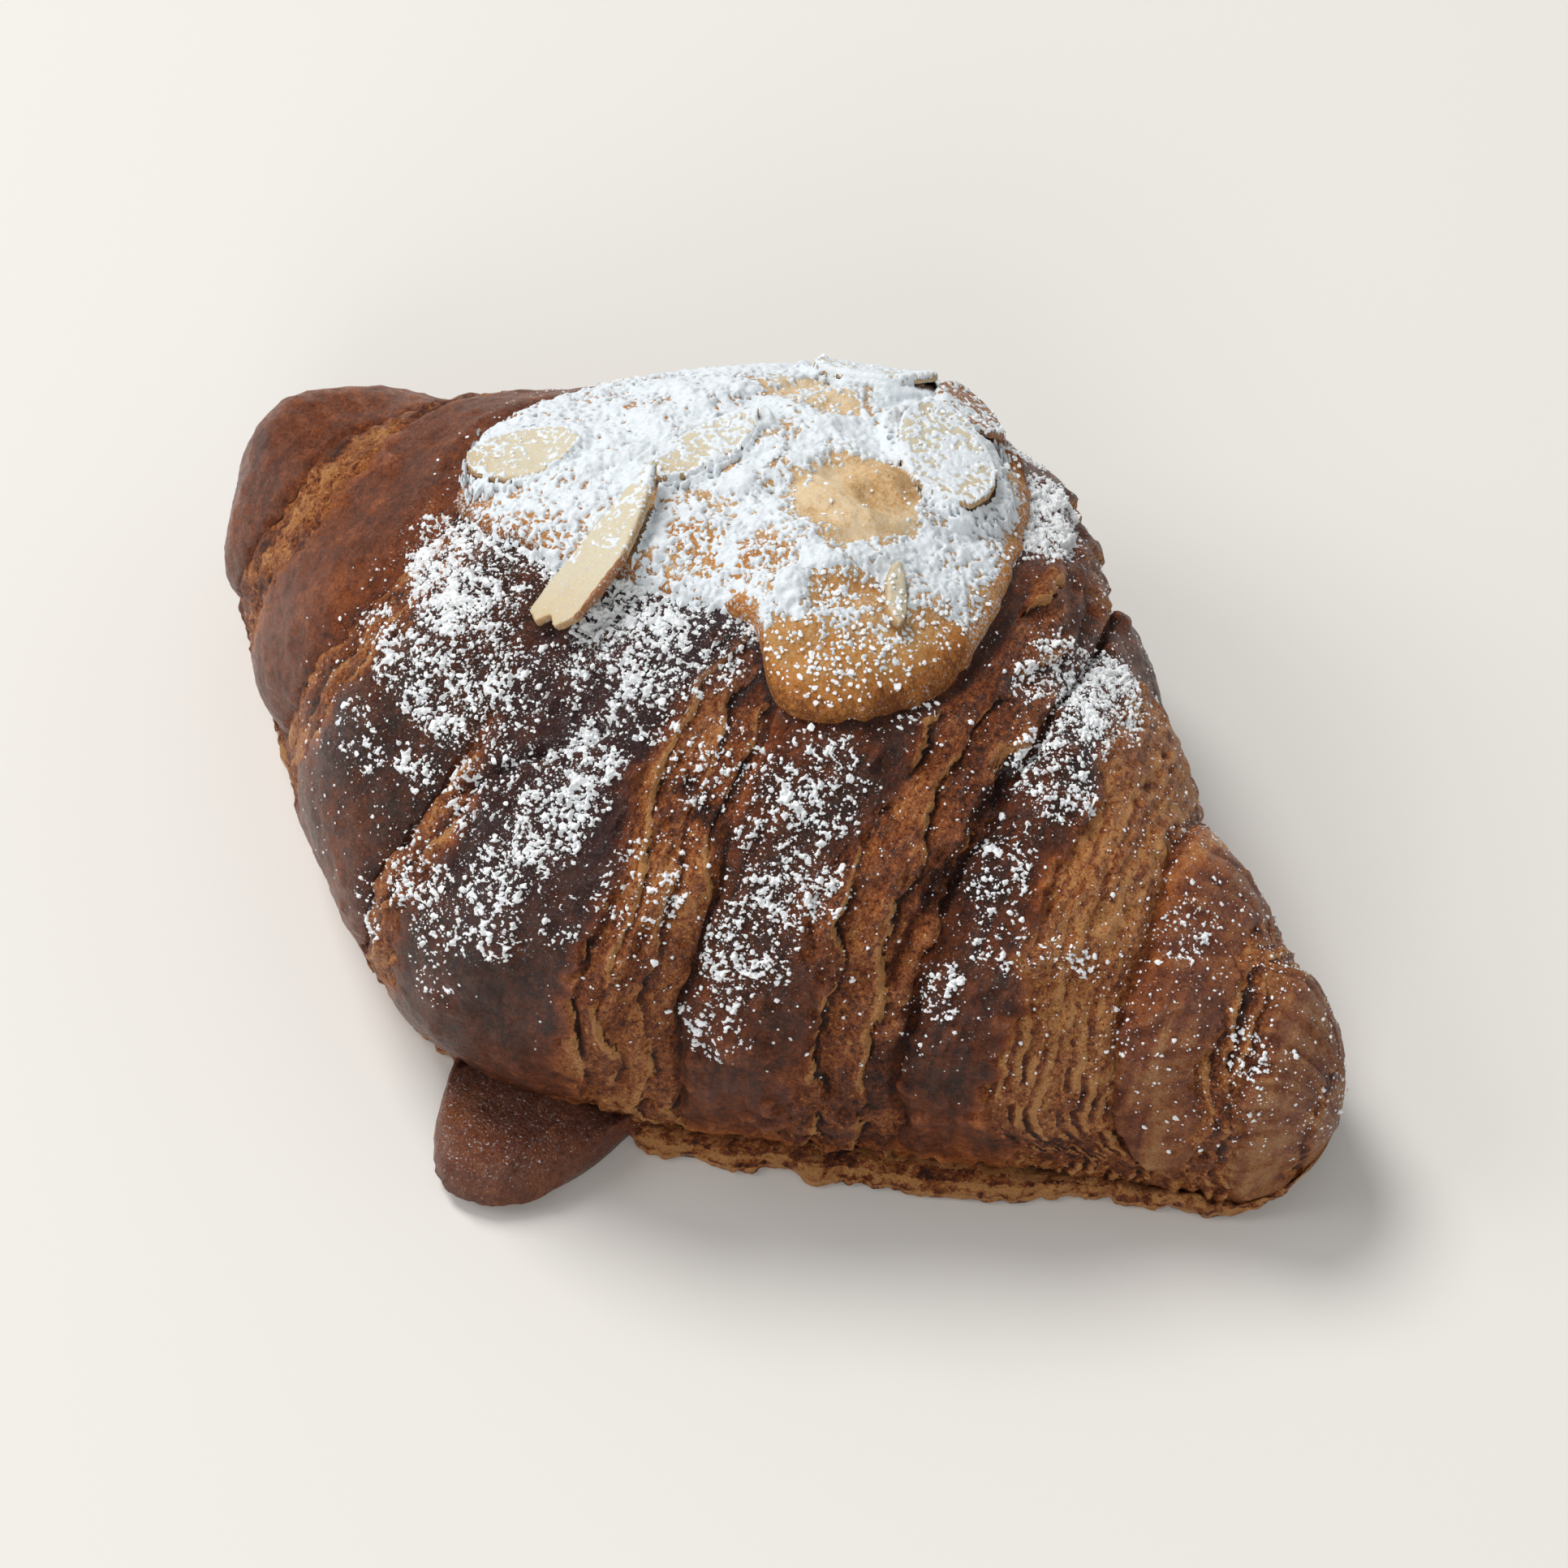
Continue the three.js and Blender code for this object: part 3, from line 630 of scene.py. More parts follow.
def by_turn(values):
    """Each vertex's value, from a list with one for each turn."""
    return np.array(values)[turn]


def skin_noise(length, degrees, seed):
    """Noise on the skin, in cells of a length along the roll and an angle round it."""
    return noise(X / length, ANGLE / degrees, seed=seed)


def on_line(start, end, width, stray):
    """1 on a straying line between two (place along, angle) ends on the skin, less beside it."""
    du = X - start[0]
    dv = (ANGLE - start[1]) * MM_PER_DEGREE
    run = np.array([end[0] - start[0], (end[1] - start[1]) * MM_PER_DEGREE])
    along = np.clip((du * run[0] + dv * run[1]) / (run @ run), 0, 1)
    away = np.hypot(du - along * run[0], dv - along * run[1])
    return np.exp(-(((away + stray) / width) ** 2)) * on_wall


def spot(place, angle, half_length, half_angle):
    """1 in the middle of a soft spot on the skin, less round it."""
    return np.exp(-(((X - place) / half_length) ** 2) - ((ANGLE - angle) / half_angle) ** 2)


# The layered bands: their ragged border with the skin, and the sheets that end one after the other in them.
layers = widened(wall.layers, 0)
ragged = 0.18 * noise(ANGLE / 14 + 31 * turn, seed=8)
layers = layers * (1 + ragged + 0.10 * noise(ANGLE / 3 + 31 * turn, seed=9))
layers = layers * (1 + 0.25 * fade(ANGLE, -30, 20))
inside = np.where((layers > 0.5) & (bare > 0.5), layers - to_edge, -9.0)
wander = 0.5 * noise(ANGLE / 30, 9.0 * turn, seed=31) + 0.3 * noise(ANGLE / 12, to_edge / 4, seed=33)
wander += 0.14 * noise(ANGLE / 4, to_edge / 1.6, seed=32)
pitch = by_turn(LAYER_PITCH)
phase = EDGE_SHEET - to_edge / pitch + wander
sheet = np.floor(phase)
saw = phase - sheet
torn = smoothstep(noise(ANGLE / 7, sheet * 3.7 + 17 * turn, seed=35), -0.45, 0.35)
torn = torn * (0.75 + 0.45 * noise(sheet * 5.3, turn * 7.1, seed=34)) * by_turn(LAYER_TORN)
torn = torn * np.where(turn == COMBED_TURN, 1 - 0.7 * smoothstep(ANGLE, 15, 45), 1)
in_layers = smoothstep(inside, -0.3, 0.3)
skin = on_wall * (1 - in_layers)

# Relief finer than the solid's, along the normal.
rise = smoothstep(saw, 0.05, 0.8) - 0.45 - smoothstep(saw, 0.9, 1.0)
fine = SHEET_RISE * pitch * in_layers * torn * rise
fine -= BAND_DIP * in_layers * np.exp(-np.clip(inside, 0, None) / 2.0)
grit = BAND_GRIT * skin_noise(0.75, 4, 36)
fine += in_layers * (grit + BAND_GRIT * noise(X / 0.9, Y / 1.5, Z / 1.5, seed=37))
fine += skin * (SKIN_SWELL * craggy(form_points, 5, 41) + SKIN_GRAIN * craggy(form_points, 1.3, 44))
crinkle = (1 - np.abs(grainy(form_points, 2.6, 40))) ** 3
crinkle = skin * by_turn(SKIN_CRINKLED) * (crinkle - 0.35 + 0.5 * grainy(form_points, 1.1, 42))
crinkle = crinkle * np.where(turn <= MIDDLE_TURN, smoothstep(ANGLE, 22, 50), 1)
fine += CRINKLE_HEIGHT * crinkle * bare
fine += low_wall * COMB_HEIGHT * skin_noise(0.9, 28, 49)
blister = smoothstep(grainy(form_points, 2.4, 47), 0.2, 0.8) * skin * bare
blister *= by_turn(SKIN_BLISTERED)
fine += BLISTER_HEIGHT * blister
# Fine wrinkles run slantwise round the right tip.
on_tip = skin * smoothstep(X, *TIP_WRINKLED)
up = ANGLE * MM_PER_DEGREE
wrinkle = noise((0.87 * X - 0.5 * up) / 1.3, (0.5 * X + 0.87 * up) / 8, seed=62)
fine += WRINKLE_HEIGHT * on_tip * wrinkle
hem = on_wall * fade(ANGLE + 4 * noise(X / 2.5, seed=45), HEM_ANGLE - 3, HEM_ANGLE + 3)
hem = hem * (0.7 + 0.5 * skin_noise(1.5, 3, 46))
fine += HEM_HEIGHT * hem
for place, angle, radius, height in BLISTERS:
    away = np.hypot(X - place, (ANGLE - angle) * MM_PER_DEGREE) / radius
    bump = np.clip(1 - away * away, 0, 1)
    fine += height * bump
    blister = np.maximum(blister, bump * (height > 0))
stray = 0.5 * skin_noise(1.6, 3, 38)
crack = np.zeros_like(X)
for start, end, width, depth in CRACKS:
    here = on_line(start, end, width, stray)
    fine -= depth * here
    crack = np.maximum(crack, here)
ridge = np.zeros_like(X)
for start, end, width, height in RIDGES:
    here = on_line(start, end, width, stray)
    fine += height * here
    ridge = np.maximum(ridge, here)
nearest = np.minimum(to_edge, to_groove)
cut = by_turn(GROOVE_CUT)
groove = np.exp(-((nearest / np.where(cut > 0, 0.5, 1.6)) ** 2))
groove = groove * on_wall * bare * tip_fade * seam_depth * cut
fine -= groove * (0.8 + 0.4 * noise(ANGLE / 6, turn * 3.0, seed=39))
off_floor = (1 - on_wall) * smoothstep(Z, 0.1, 0.6)
fine += off_floor * (LIP_CRAGS * craggy(form_points, 2.4, 58) + LIP_GRIT * grainy(form_points, 0.6, 59))
normal = normals_of(form_points)
crust_points = form_points + normal * (fine * tip_taper(X))[..., None]

# How dark the crust is, from baking and from painted light and shade: 0 is pale gold and 1 nearly black.
bake_and_shade = by_turn(SKIN_BAKE) + 0.12 * craggy(form_points, 6, 51) + 0.08 * rough(X / 2.4, ANGLE / 9, seed=53)
bake_and_shade -= 0.22 * fade(ANGLE, -30, 35) * (turn >= MIDDLE_TURN)
# Painted light: the lower side of the turn left of the middle is lighter, as if lit from the left.
bake_and_shade -= 0.26 * fade(ANGLE, 0, 55) * (turn == MIDDLE_TURN - 1)
bake_and_shade -= 0.10 * smoothstep(ANGLE, 95, 150)
# The crinkles' and the tip wrinkles' crests are lighter and their troughs darker: partly redder colour, partly
# a painted highlight and shade.
bake_and_shade -= 0.16 * blister + 0.14 * crinkle + 0.14 * on_tip * wrinkle
streaks = 0.6 * skin_noise(1.1, 45, 52) + skin_noise(0.5, 25, 54)
bake_and_shade += by_turn(SKIN_STREAKED) * streaks
layer_bake = by_turn(LAYER_BAKE) + 0.16 * rough(X / 2.2, ANGLE / 8, seed=55)
layer_bake += 0.24 * noise(sheet * 3.1 + 11 * turn, ANGLE / 14, seed=56)
layer_bake += 0.30 * low_wall * (turn == COMBED_TURN)
bake_and_shade = mix(bake_and_shade, layer_bake, smoothstep(inside, -2.5, 1.0))
# Grooves and cracks are painted darker: a painted shade in these recesses.
bake_and_shade = mix(bake_and_shade, GROOVE_SHADE, 0.55 * np.clip(groove, 0, 1))
bake_and_shade = mix(bake_and_shade, CRACK_SHADE, 0.75 * crack)
bake_and_shade = mix(bake_and_shade, RIDGE_BAKE, 0.75 * ridge)
bake_and_shade = mix(bake_and_shade, HEM_BAKE, np.clip(hem, 0, 0.85))
lip_bake = LIP_BAKE + 0.9 * craggy(form_points, 1.1, 57) + 0.2 * smoothstep(Z, 2.2, 4.2)
lip_bake += 0.5 * smoothstep(Y - section.crest[:, :1], -5, 5)
bake_and_shade = np.where(on_wall > 0, bake_and_shade, lip_bake)
beside_tail = np.abs(X - TAIL["at"]) / (TAIL["half_width"] + 2)
on_tail = smoothstep(1 - beside_tail, 0, 0.15) * (Y < -40) * (1 - on_wall)
bake_and_shade = np.clip(mix(bake_and_shade, TAIL_BAKE + 0.15 * patchy(X, Y, 4, 60), on_tail), -0.2, 1.05)
inside = np.where(on_wall > 0, inside, mix(2.0, -3.0, on_tail))
torn = np.where(on_wall > 0, torn, 0.3 * (1 - on_tail))
phase = np.where(on_wall > 0, phase, EDGE_SHEET + 0.8 * Z)
# A purple cast over the middle turn's top, the dark patch, the tail and the right tip; on the middle turn and
# the tip it is partly a painted sheen.
purple_and_sheen = (turn == MIDDLE_TURN) * smoothstep(ANGLE, 15, 45) * fade(inside, -3, 1) * on_wall
# The crust is darker and purple in a patch beside the cream.
dark_patch = spot(*DARK_PATCH)
bake_and_shade = bake_and_shade + 0.45 * dark_patch * on_wall
purple_and_sheen = np.maximum(purple_and_sheen + dark_patch * on_wall, 0.95 * on_tail)
purple_and_sheen = np.clip(np.maximum(purple_and_sheen, 0.85 * smoothstep(X, *TIP_PURPLE_SHEEN) * skin), 0, 1.6)


def crust_cover(s, angle, up, spread):
    """Cover of powdered sugar on the crust; up is the upward part of its normal."""
    cover = np.zeros_like(s)
    for place, at_angle, half_length, half_angle, amount in SUGAR_PATCHES:
        away = np.hypot((s - place) / half_length, (angle - at_angle) / half_angle)
        cover = np.maximum(cover, amount * fade(away, 0.5 * spread, 1.25 * spread))
    return cover * smoothstep(up, -0.05, 0.45)


def sprinkled(s, angle):
    """Thin cover all over the top of the roll."""
    top = smoothstep(angle, 0, 35) * fade(angle, 145, 178)
    return SPRINKLED["cover"] * top * smoothstep(s, SPRINKLED["from"], SPRINKLED["to"])


dust = crust_cover(X, ANGLE, normal[..., 2], spread=1.35) + 3 * sprinkled(X, ANGLE)
dust = np.maximum(dust, 0.5 * on_tail * smoothstep(normal[..., 2], 0.1, 0.6))
dust = dust + 0.4 * spot(*SMEAR) * on_wall


def crust_piece(name, first, last):
    """Lines first to last of the crust; a tip of the roll is one vertex with a fan of triangles round it."""
    lines = slice(max(first, 1), min(last, n_lines - 2) + 1)
    rows = lines.stop - lines.start
    faces = grid_faces(rows, n_ring, True).tolist()
    at_left = first == 0
    tip = 0 if at_left else n_lines - 1
    end = 0 if at_left else (rows - 1) * n_ring
    for k in range(n_ring):
        pair = [end + k, end + (k + 1) % n_ring]
        faces.append([rows * n_ring] + (pair if at_left else pair[::-1]))

    def gathered(grid):
        width = grid.shape[2] if grid.ndim > 2 else 1
        return np.concatenate([grid[lines].reshape(-1, width), grid[tip, :1].reshape(1, width)])

    kinds = {"bake_and_shade": bake_and_shade, "inside": inside, "phase": phase, "torn": torn, "dust": dust, "purple_and_sheen": purple_and_sheen}
    kinds |= {"pitch": pitch, "along": X, "around": np.where(on_wall > 0, ANGLE * MM_PER_DEGREE, 3 * (Y + Z))}
    attributes = {key: gathered(grid) for key, grid in kinds.items()}
    piece = new_object(name, gathered(crust_points), faces, attributes)
    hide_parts("croissant")
    return piece


parting = sum(TURN_LINES[: MIDDLE_TURN + 1])
crusts = [crust_piece("crust_left", 0, parting), crust_piece("crust_right", parting, n_lines - 1)]


# Almond cream

def roll_top(x, y):
    """Height of the smooth roll under the cream."""
    section = section_at(x)
    in_front = y < section.crest
    half = np.where(in_front, section.front, section.back)
    share = np.clip(np.abs(y - section.crest) / half, 0, 0.98)
    angle = np.degrees(np.arccos(share ** (1 / FULLNESS)))
    smooth = section.waist + section.rise * np.sin(np.radians(angle)) ** FULLNESS
    return smooth + uneven(x, np.where(in_front, angle, 180 - angle))


def cream_top(x, y, share):
    """Height of the cream at places in plan; the share is 0 at its centre and 1 at its edge."""
    lobe = np.hypot(x - CREAM_LOBE["at"][0], y - CREAM_LOBE["at"][1]) / CREAM_LOBE["radius"]
    mounds = 0.45 * np.sin(0.55 * x + 0.3 * y) * np.sin(0.6 * y - 0.2 * x)
    bumps = mounds + 0.3 * np.sin(0.9 * x - 0.7 * y)
    spread = mix(CREAM_THIN["share"], 1, smoothstep(x, CREAM_THIN["from"], CREAM_THIN["to"]))
    thickness = (CREAM_THICKNESS + bumps) * spread + CREAM_LOBE["rise"] * np.exp(-lobe * lobe)
    floor = roll_top(x, y) + GAP * mix(1, 2.5, share * share)
    grain = 0.28 * patchy(x, y, 3.2, 61) + 0.3 * patchy(x, y, 1.5, 65)
    grain += 0.22 * patchy(x, y, 0.8, 64)
    return floor + thickness * np.clip(1 - share**4, 0, 1) ** 0.6 + grain


def bare_spots(x, y):
    """How bare the sugar leaves the cream, and how toasted it is there, with a painted shade towards the left.
    """
    left = np.zeros_like(x)
    # The cream is darker towards the left: a painted shade in the gaps of the thick sugar over it.
    toast_and_shade = mix(0.62, 0.40, smoothstep(x, -20, -2))
    wander = 0.22 * patchy(x, y, 2.5, 67)
    for (cx, cy), (rx, ry), bareness, darkness in BARE_SPOTS:
        away = np.hypot((x - cx) / rx, (y - cy) / ry) + wander
        within = fade(away, 0.7, 1.15)
        left = np.maximum(left, bareness * within)
        toast_and_shade = mix(toast_and_shade, darkness, within)
    return left, toast_and_shade


def cream_piece():
    """A fine sheet over the cream's solid, shut underneath."""
    direction = np.linspace(-math.pi, math.pi, CREAM_LINES, endpoint=False)
    steps = np.sin(np.linspace(0, math.pi / 2, CREAM_STEPS))[1:] ** 0.9
    share = steps[:, None] * np.ones(CREAM_LINES)
    reach = cream_reach(direction) + 0.5 * noise(direction * 9, seed=71)
    reach = reach + 0.3 * noise(direction * 23, seed=72)
    x = CREAM_CENTRE[0] + share * reach * np.cos(direction)
    y = CREAM_CENTRE[1] + share * reach * np.sin(direction)
    z = cream_top(x, y, share)
    skirt = np.stack([x[-1], y[-1], z[-1] - CREAM_SKIRT], -1)
    middle = np.array(CREAM_CENTRE, float)[:, None]
    centre = np.stack([*middle, cream_top(*middle, np.zeros(1))], -1)
    sheet = np.stack([x, y, z], -1).reshape(-1, 3)
    points = np.concatenate([sheet, skirt, centre, centre - [0, 0, CREAM_DEPTH]])
    faces = grid_faces(CREAM_STEPS, CREAM_LINES, True)[:, ::-1].tolist()
    last = (CREAM_STEPS - 1) * CREAM_LINES
    top, bottom = last + CREAM_LINES, last + CREAM_LINES + 1
    for k in range(CREAM_LINES):
        after = (k + 1) % CREAM_LINES
        faces.append([top, k, after])
        faces.append([bottom, last + after, last + k])
    px, py = points[:, 0], points[:, 1]
    toast_and_shade = bare_spots(px, py)[1] + 0.10 * patchy(px, py, 3, 74)
    toast_and_shade += 0.34 * smoothstep(cream_share(px, py), 0.88, 1.0)
    dust = 1 - 0.8 * bare_spots(px, py)[0] + 0.3 * patchy(px, py, 2, 75)
    piece = new_object("cream", points, faces, {"toast_and_shade": np.clip(toast_and_shade, 0, 1), "dust": dust})
    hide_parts("almond_cream")
    return piece


cream = cream_piece()


# Almond slices

def vertex_values(mesh, collection, key):
    """One vector a vertex, as an array."""
    values = np.zeros(len(mesh.vertices) * 3, np.float32)
    collection.foreach_get(key, values)
    return values.reshape(-1, 3).astype(float)


def almond_piece(node):
    """A slice with rounded rims, toasted at its rim and front end, in the place and form of its solid."""
    source = add_to_scene("rough_slice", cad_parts[node].data.copy())
    remesh = source.modifiers.new("remesh", "REMESH")
    remesh.mode = "VOXEL"
    remesh.voxel_size = ALMOND_VOXEL
    smooth = source.modifiers.new("smooth", "SMOOTH")
    smooth.factor = 0.5
    smooth.iterations = 3
    mesh = bpy.data.meshes.new_from_object(source.evaluated_get(bpy.context.evaluated_depsgraph_get()))
    bpy.data.objects.remove(source)
    place = vertex_values(mesh, mesh.vertices, "co")
    out = vertex_values(mesh, mesh.vertex_normals, "vector")
    off_middle = place - place.mean(0)
    long_way, cross_way, flat_way = np.linalg.svd(off_middle, full_matrices=False)[2]
    rim = 1 - np.abs(out @ flat_way)
    along = -np.sign(long_way[1]) * off_middle @ long_way
    rim = rim + 0.5 * smoothstep(along / along.max(), 0.1, 1)
    across = off_middle @ cross_way
    across = across * np.sign(cross_way @ SCREEN_RIGHT) / np.abs(across).max()
    skin_from = SKINNED.get(node, 2)
    peel = smoothstep(across, skin_from, skin_from + 0.18)
    mm = place * 1000
    grain = ALMOND_GRAIN * (grainy(mm, 1.4, 81) + 0.6 * grainy(mm, 0.6, 82))
    place = place + out * grain[:, None]
    mesh.vertices.foreach_set("co", place.astype(np.float32).ravel())
    mesh.materials.clear()
    piece = add_piece(node.replace("almond", "flaked_almond"), mesh, {"rim": rim, "peel": peel})
    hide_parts(node)
    return piece


slices = {node: almond_piece(node) for node in SLICE_COVER}


# Powdered sugar

def lump_shape(subdivisions):
    """Corners and triangles of an octahedron, or of an icosphere."""
    if subdivisions == 0:
        points = np.array([(1, 0, 0), (-1, 0, 0), (0, 1, 0), (0, -1, 0), (0, 0, 1), (0, 0, -1)], float)
        sides = itertools.product((0, 1), (2, 3), (4, 5))
        return points, np.array([(a, b, c) if (a + b + c) % 2 == 0 else (b, a, c) for a, b, c in sides])
    shape = bmesh.new()
    bmesh.ops.create_icosphere(shape, subdivisions=subdivisions, radius=1)
    points = np.array([v.co for v in shape.verts])
    triangles = np.array([[v.index for v in f.verts] for f in shape.faces])
    shape.free()
    return points, triangles


def scatter(name, places, outs, radii, subdivisions, flatness):
    """Many small lumps as one mesh, each pressed onto the surface and roughened."""
    points, triangles = lump_shape(subdivisions)
    count = len(places)
    helper = np.where(np.abs(outs[:, :1]) < 0.8, [[1.0, 0, 0]], [[0, 1.0, 0]])
    first = np.cross(outs, helper)
    first /= np.linalg.norm(first, axis=1, keepdims=True)
    second = np.cross(outs, first)
    spin = rng.uniform(0, 2 * math.pi, count)[:, None]
    a = np.cos(spin) * first + np.sin(spin) * second
    b = np.cos(spin) * second - np.sin(spin) * first
    wide = radii[:, None] * rng.uniform(0.7, 1.4, (count, 2))
    local = points[None] * (1 + rng.uniform(-0.3, 0.3, (count, len(points), 1)))
    lumps = (
        places[:, None]
        + a[:, None] * (local[..., :1] * wide[:, :1, None])
        + b[:, None] * (local[..., 1:2] * wide[:, 1:, None])
        + outs[:, None] * (local[..., 2:] * (radii * flatness)[:, None, None])
    )
    faces = (triangles[None] + (np.arange(count) * len(points))[:, None, None]).reshape(-1, 3)
    return new_object(name, lumps.reshape(-1, 3), faces.tolist(), smooth=False)


def sugar_sheet(name, points, out, heap, height, smooth):
    """A sheet that stands out of a surface where the heap is over 0, and dips under it beside that."""
    lift = np.where(heap > 0, height, np.clip(2 * heap, -0.2, 0))
    under = points.reshape(-1, 3)
    points = (points + out * lift[..., None]).reshape(-1, 3)
    quads = grid_faces(*heap.shape, False)
    quads = quads[(heap.ravel()[quads] > 0).any(1)]
    # The sheet parts at a step of the surface under it, unless the sugar fills that step.
    quads = quads[np.minimum(np.ptp(points[quads, 2], 1), np.ptp(under[quads, 2], 1)) < SHEET_STEP]
    used, quads = np.unique(quads, return_inverse=True)
    return new_object(name, points[used], quads.reshape(-1, 4).tolist(), smooth=smooth)


def clumps(points, finest, seed):
    """Noise of the sugar's clumps, about 0.17 from its mean, which is 0."""
    return (
        0.34 * craggy(points, 2.4, seed)
        + 0.16 * grainy(points, 3.2 * finest, seed + 5)
        + 0.36 * grainy(points, 1.8 * finest, seed + 6)
        + 0.42 * grainy(points, finest, seed + 7)
    )


def threshold(cover):
    """Level of the clumps' noise that a share of the surface, the cover, is over."""
    level = mix(0.30, -0.27, cover) + 0.4 * fade(cover, 0.0, 0.06)
    return level - 0.3 * smoothstep(cover, 0.8, 1.0)


def finer(grid):
    """A grid with a point halfway between each two neighbours along the roll, and three round it."""
    for axis in (0, 1, 1):
        grid = np.moveaxis(grid, axis, 0)
        between = (grid[1:] + grid[:-1]) / 2
        full = np.empty((2 * len(grid) - 1, *grid.shape[1:]))
        full[::2] = grid
        full[1::2] = between
        grid = np.moveaxis(full, 0, axis)
    return grid


fine_points = finer(crust_points[:, :WALL_STEPS])
fine_out = finer(normal[:, :WALL_STEPS])
fine_angle = finer(wall.angle)
fine_x = fine_points[..., 0]
fine_share = cream_share(fine_x, fine_points[..., 1])
thin_cover = sprinkled(fine_x, fine_angle)
cover = crust_cover(fine_x, fine_angle, fine_out[..., 2], spread=1.0)
cover = np.maximum(cover, 0.4 * thin_cover)
# Sugar spilled from the cream's left front.
spill = fade(fine_share, 1.0, 1.2)
spill = spill * smoothstep(fine_angle, 55, 65) * smoothstep(fine_out[..., 2], 0.2, 0.5)
spill = spill * smoothstep(fine_x, -38, -30) * fade(fine_x, -4, 2)
cover = np.maximum(cover, 0.6 * spill)
hidden = fine_share < CREAM_HIDES
heaped = (cover > 0.03) & ~hidden
heap = np.full(cover.shape, -1.0)
heap[heaped] = clumps(fine_points[heaped], 0.28, 91) - threshold(cover[heaped])
heap_height = 0.06 + 1.2 * np.clip(heap, 0, 0.5)
crust_sugar = sugar_sheet("crust_sugar", fine_points, fine_out, heap, heap_height, smooth=False)


def on_crust(count, weight):
    """Random places on the crust's wall, by weight, with the way out of it."""
    weight = np.cumsum(weight.ravel())
    pick = np.searchsorted(weight, rng.uniform(0, weight[-1], count))
    i, j = np.unravel_index(np.clip(pick, 0, weight.size - 1), fine_angle.shape)
    return fine_points[i, j] + rng.normal(0, 0.12, (count, 3)), fine_out[i, j]


def on_cream(count):
    """Random places on top of the cream and its slices, by how thin the sugar is there."""
    x, y = rng.uniform(GRAINS_LOW, GRAINS_HIGH, (count * 6, 2)).T
    bareness, toast_and_shade = bare_spots(x, y)
    chance = mix(0.2, 0.05 + 0.95 * (toast_and_shade > 0.4), bareness)
    keep = (cream_share(x, y) < CREAM_HIDES) & (rng.uniform(0, 1, count * 6) < chance)
    x, y = x[keep][:count], y[keep][:count]
    return np.stack([x, y, sugared_top(x, y)[0]], -1), np.tile([0, 0, 1.0], (len(x), 1))


def lump_radii(count, median, spread, least, most):
    return np.clip(rng.lognormal(math.log(median), spread, count), least, most)


def sugared_top(x, y):
    """Height of the cream or the slice on it at places in plan, and the slice's number there, or -1."""
    share = cream_share(x, y)
    top = cream_top(x, y, np.clip(share, 0, 1)) - 0.9 * smoothstep(share, 0.98, 1.05)
    which = np.full(top.shape, -1)
    for number, piece in enumerate(slices.values()):
        places = [v.co for v in piece.data.vertices]
        tree = BVHTree.FromPolygons(places, [p.vertices for p in piece.data.polygons])
        corners = np.array(places) * 1000 - shift
        near = (x > corners[:, 0].min()) & (x < corners[:, 0].max())
        near &= (y > corners[:, 1].min()) & (y < corners[:, 1].max())
        for k in zip(*np.nonzero(near)):
            above = Vector(((x[k] + shift[0]) / 1000, (y[k] + shift[1]) / 1000, 0.2))
            hit = tree.ray_cast(above, Vector((0, 0, -1)))[0]
            height = hit.z * 1000 - shift[2] if hit else -1
            if height > top[k]:
                top[k] = height
                which[k] = number
    return top, which


def blurred(grid, reach):
    """A grid averaged over a square of cells round each."""
    for axis in (0, 1):
        grid = sum(np.roll(grid, k, axis) for k in range(-reach, reach + 1)) / (2 * reach + 1)
    return grid


weight = cover**0.7 * (0.15 + smoothstep(heap, -0.25, 0.05)) * ~hidden
on_both = [on_crust(CRUST_GRAINS, weight), on_cream(CREAM_GRAINS)]
places, outs = (np.concatenate(parts) for parts in zip(*on_both))
radii = lump_radii(len(places), **GRAIN_RADII)
sugar_grains = scatter("sugar_grains", places + outs * 0.06, outs, radii, subdivisions=1, flatness=0.75)
loose = np.maximum(cover, thin_cover) ** 0.8 * ~hidden
places, outs = on_crust(CRUST_SPECKS, loose * (0.35 + smoothstep(heap, -0.4, 0)))
radii = lump_radii(len(places), **SPECK_RADII)
sugar_specks = scatter("sugar_specks", places + outs * 0.04, outs, radii, subdivisions=0, flatness=0.8)

# The thick sugar on the cream and its slices.
lines = [np.arange(low, high, DRIFT_STEP) for low, high in zip(DRIFT_LOW, DRIFT_HIGH)]
gx, gy = np.meshgrid(*lines, indexing="ij")
gz, which = sugared_top(gx, gy)
share = cream_share(gx, gy)
bareness = bare_spots(gx, gy)[0]
on_slice = which >= 0
banked = on_slice & ~np.isin(which, [list(slices).index(node) for node in LOOSE])
bank = np.where(banked, gz, -99)
for _ in range(BANK_STEPS):
    beside = [np.roll(bank, way, axis) - BANK_DROP for way in (1, -1) for axis in (0, 1)]
    bank = np.maximum.reduce([bank] + beside)
bank = np.clip(blurred(np.maximum(bank, gz), 2) - gz - 0.3, 0, 1) * ~on_slice
slope = blurred(np.hypot(*np.gradient(cream_top(gx, gy, np.clip(share, 0, 1)), DRIFT_STEP)), 2)
near_slice = blurred(banked.astype(float), 5)
slice_cover = np.array(list(SLICE_COVER.values()))[which]
buried = smoothstep(gy, BURIED["from"], BURIED["to"]) * (which == list(slices).index(BURIED["slice"]))
slice_cover = mix(slice_cover, BURIED["cover"], buried)
slice_cover = mix(0.97, slice_cover, np.where(banked, smoothstep(near_slice, 0.5, 0.98), 1))
cream_cover = mix(0.92, 0.86, smoothstep(gx, -26, 2)) * (1 - bareness)
uneven_cover = mix(0.16, 0.4, smoothstep(gx, -20, -5)) * patchy(gx, gy, 3.2, 114)
cream_cover = np.clip(cream_cover * (1 + uneven_cover), 0, 1)
cream_cover = np.maximum(cream_cover, 0.97 * smoothstep(near_slice, 0.02, 0.3) * (1 - bareness))
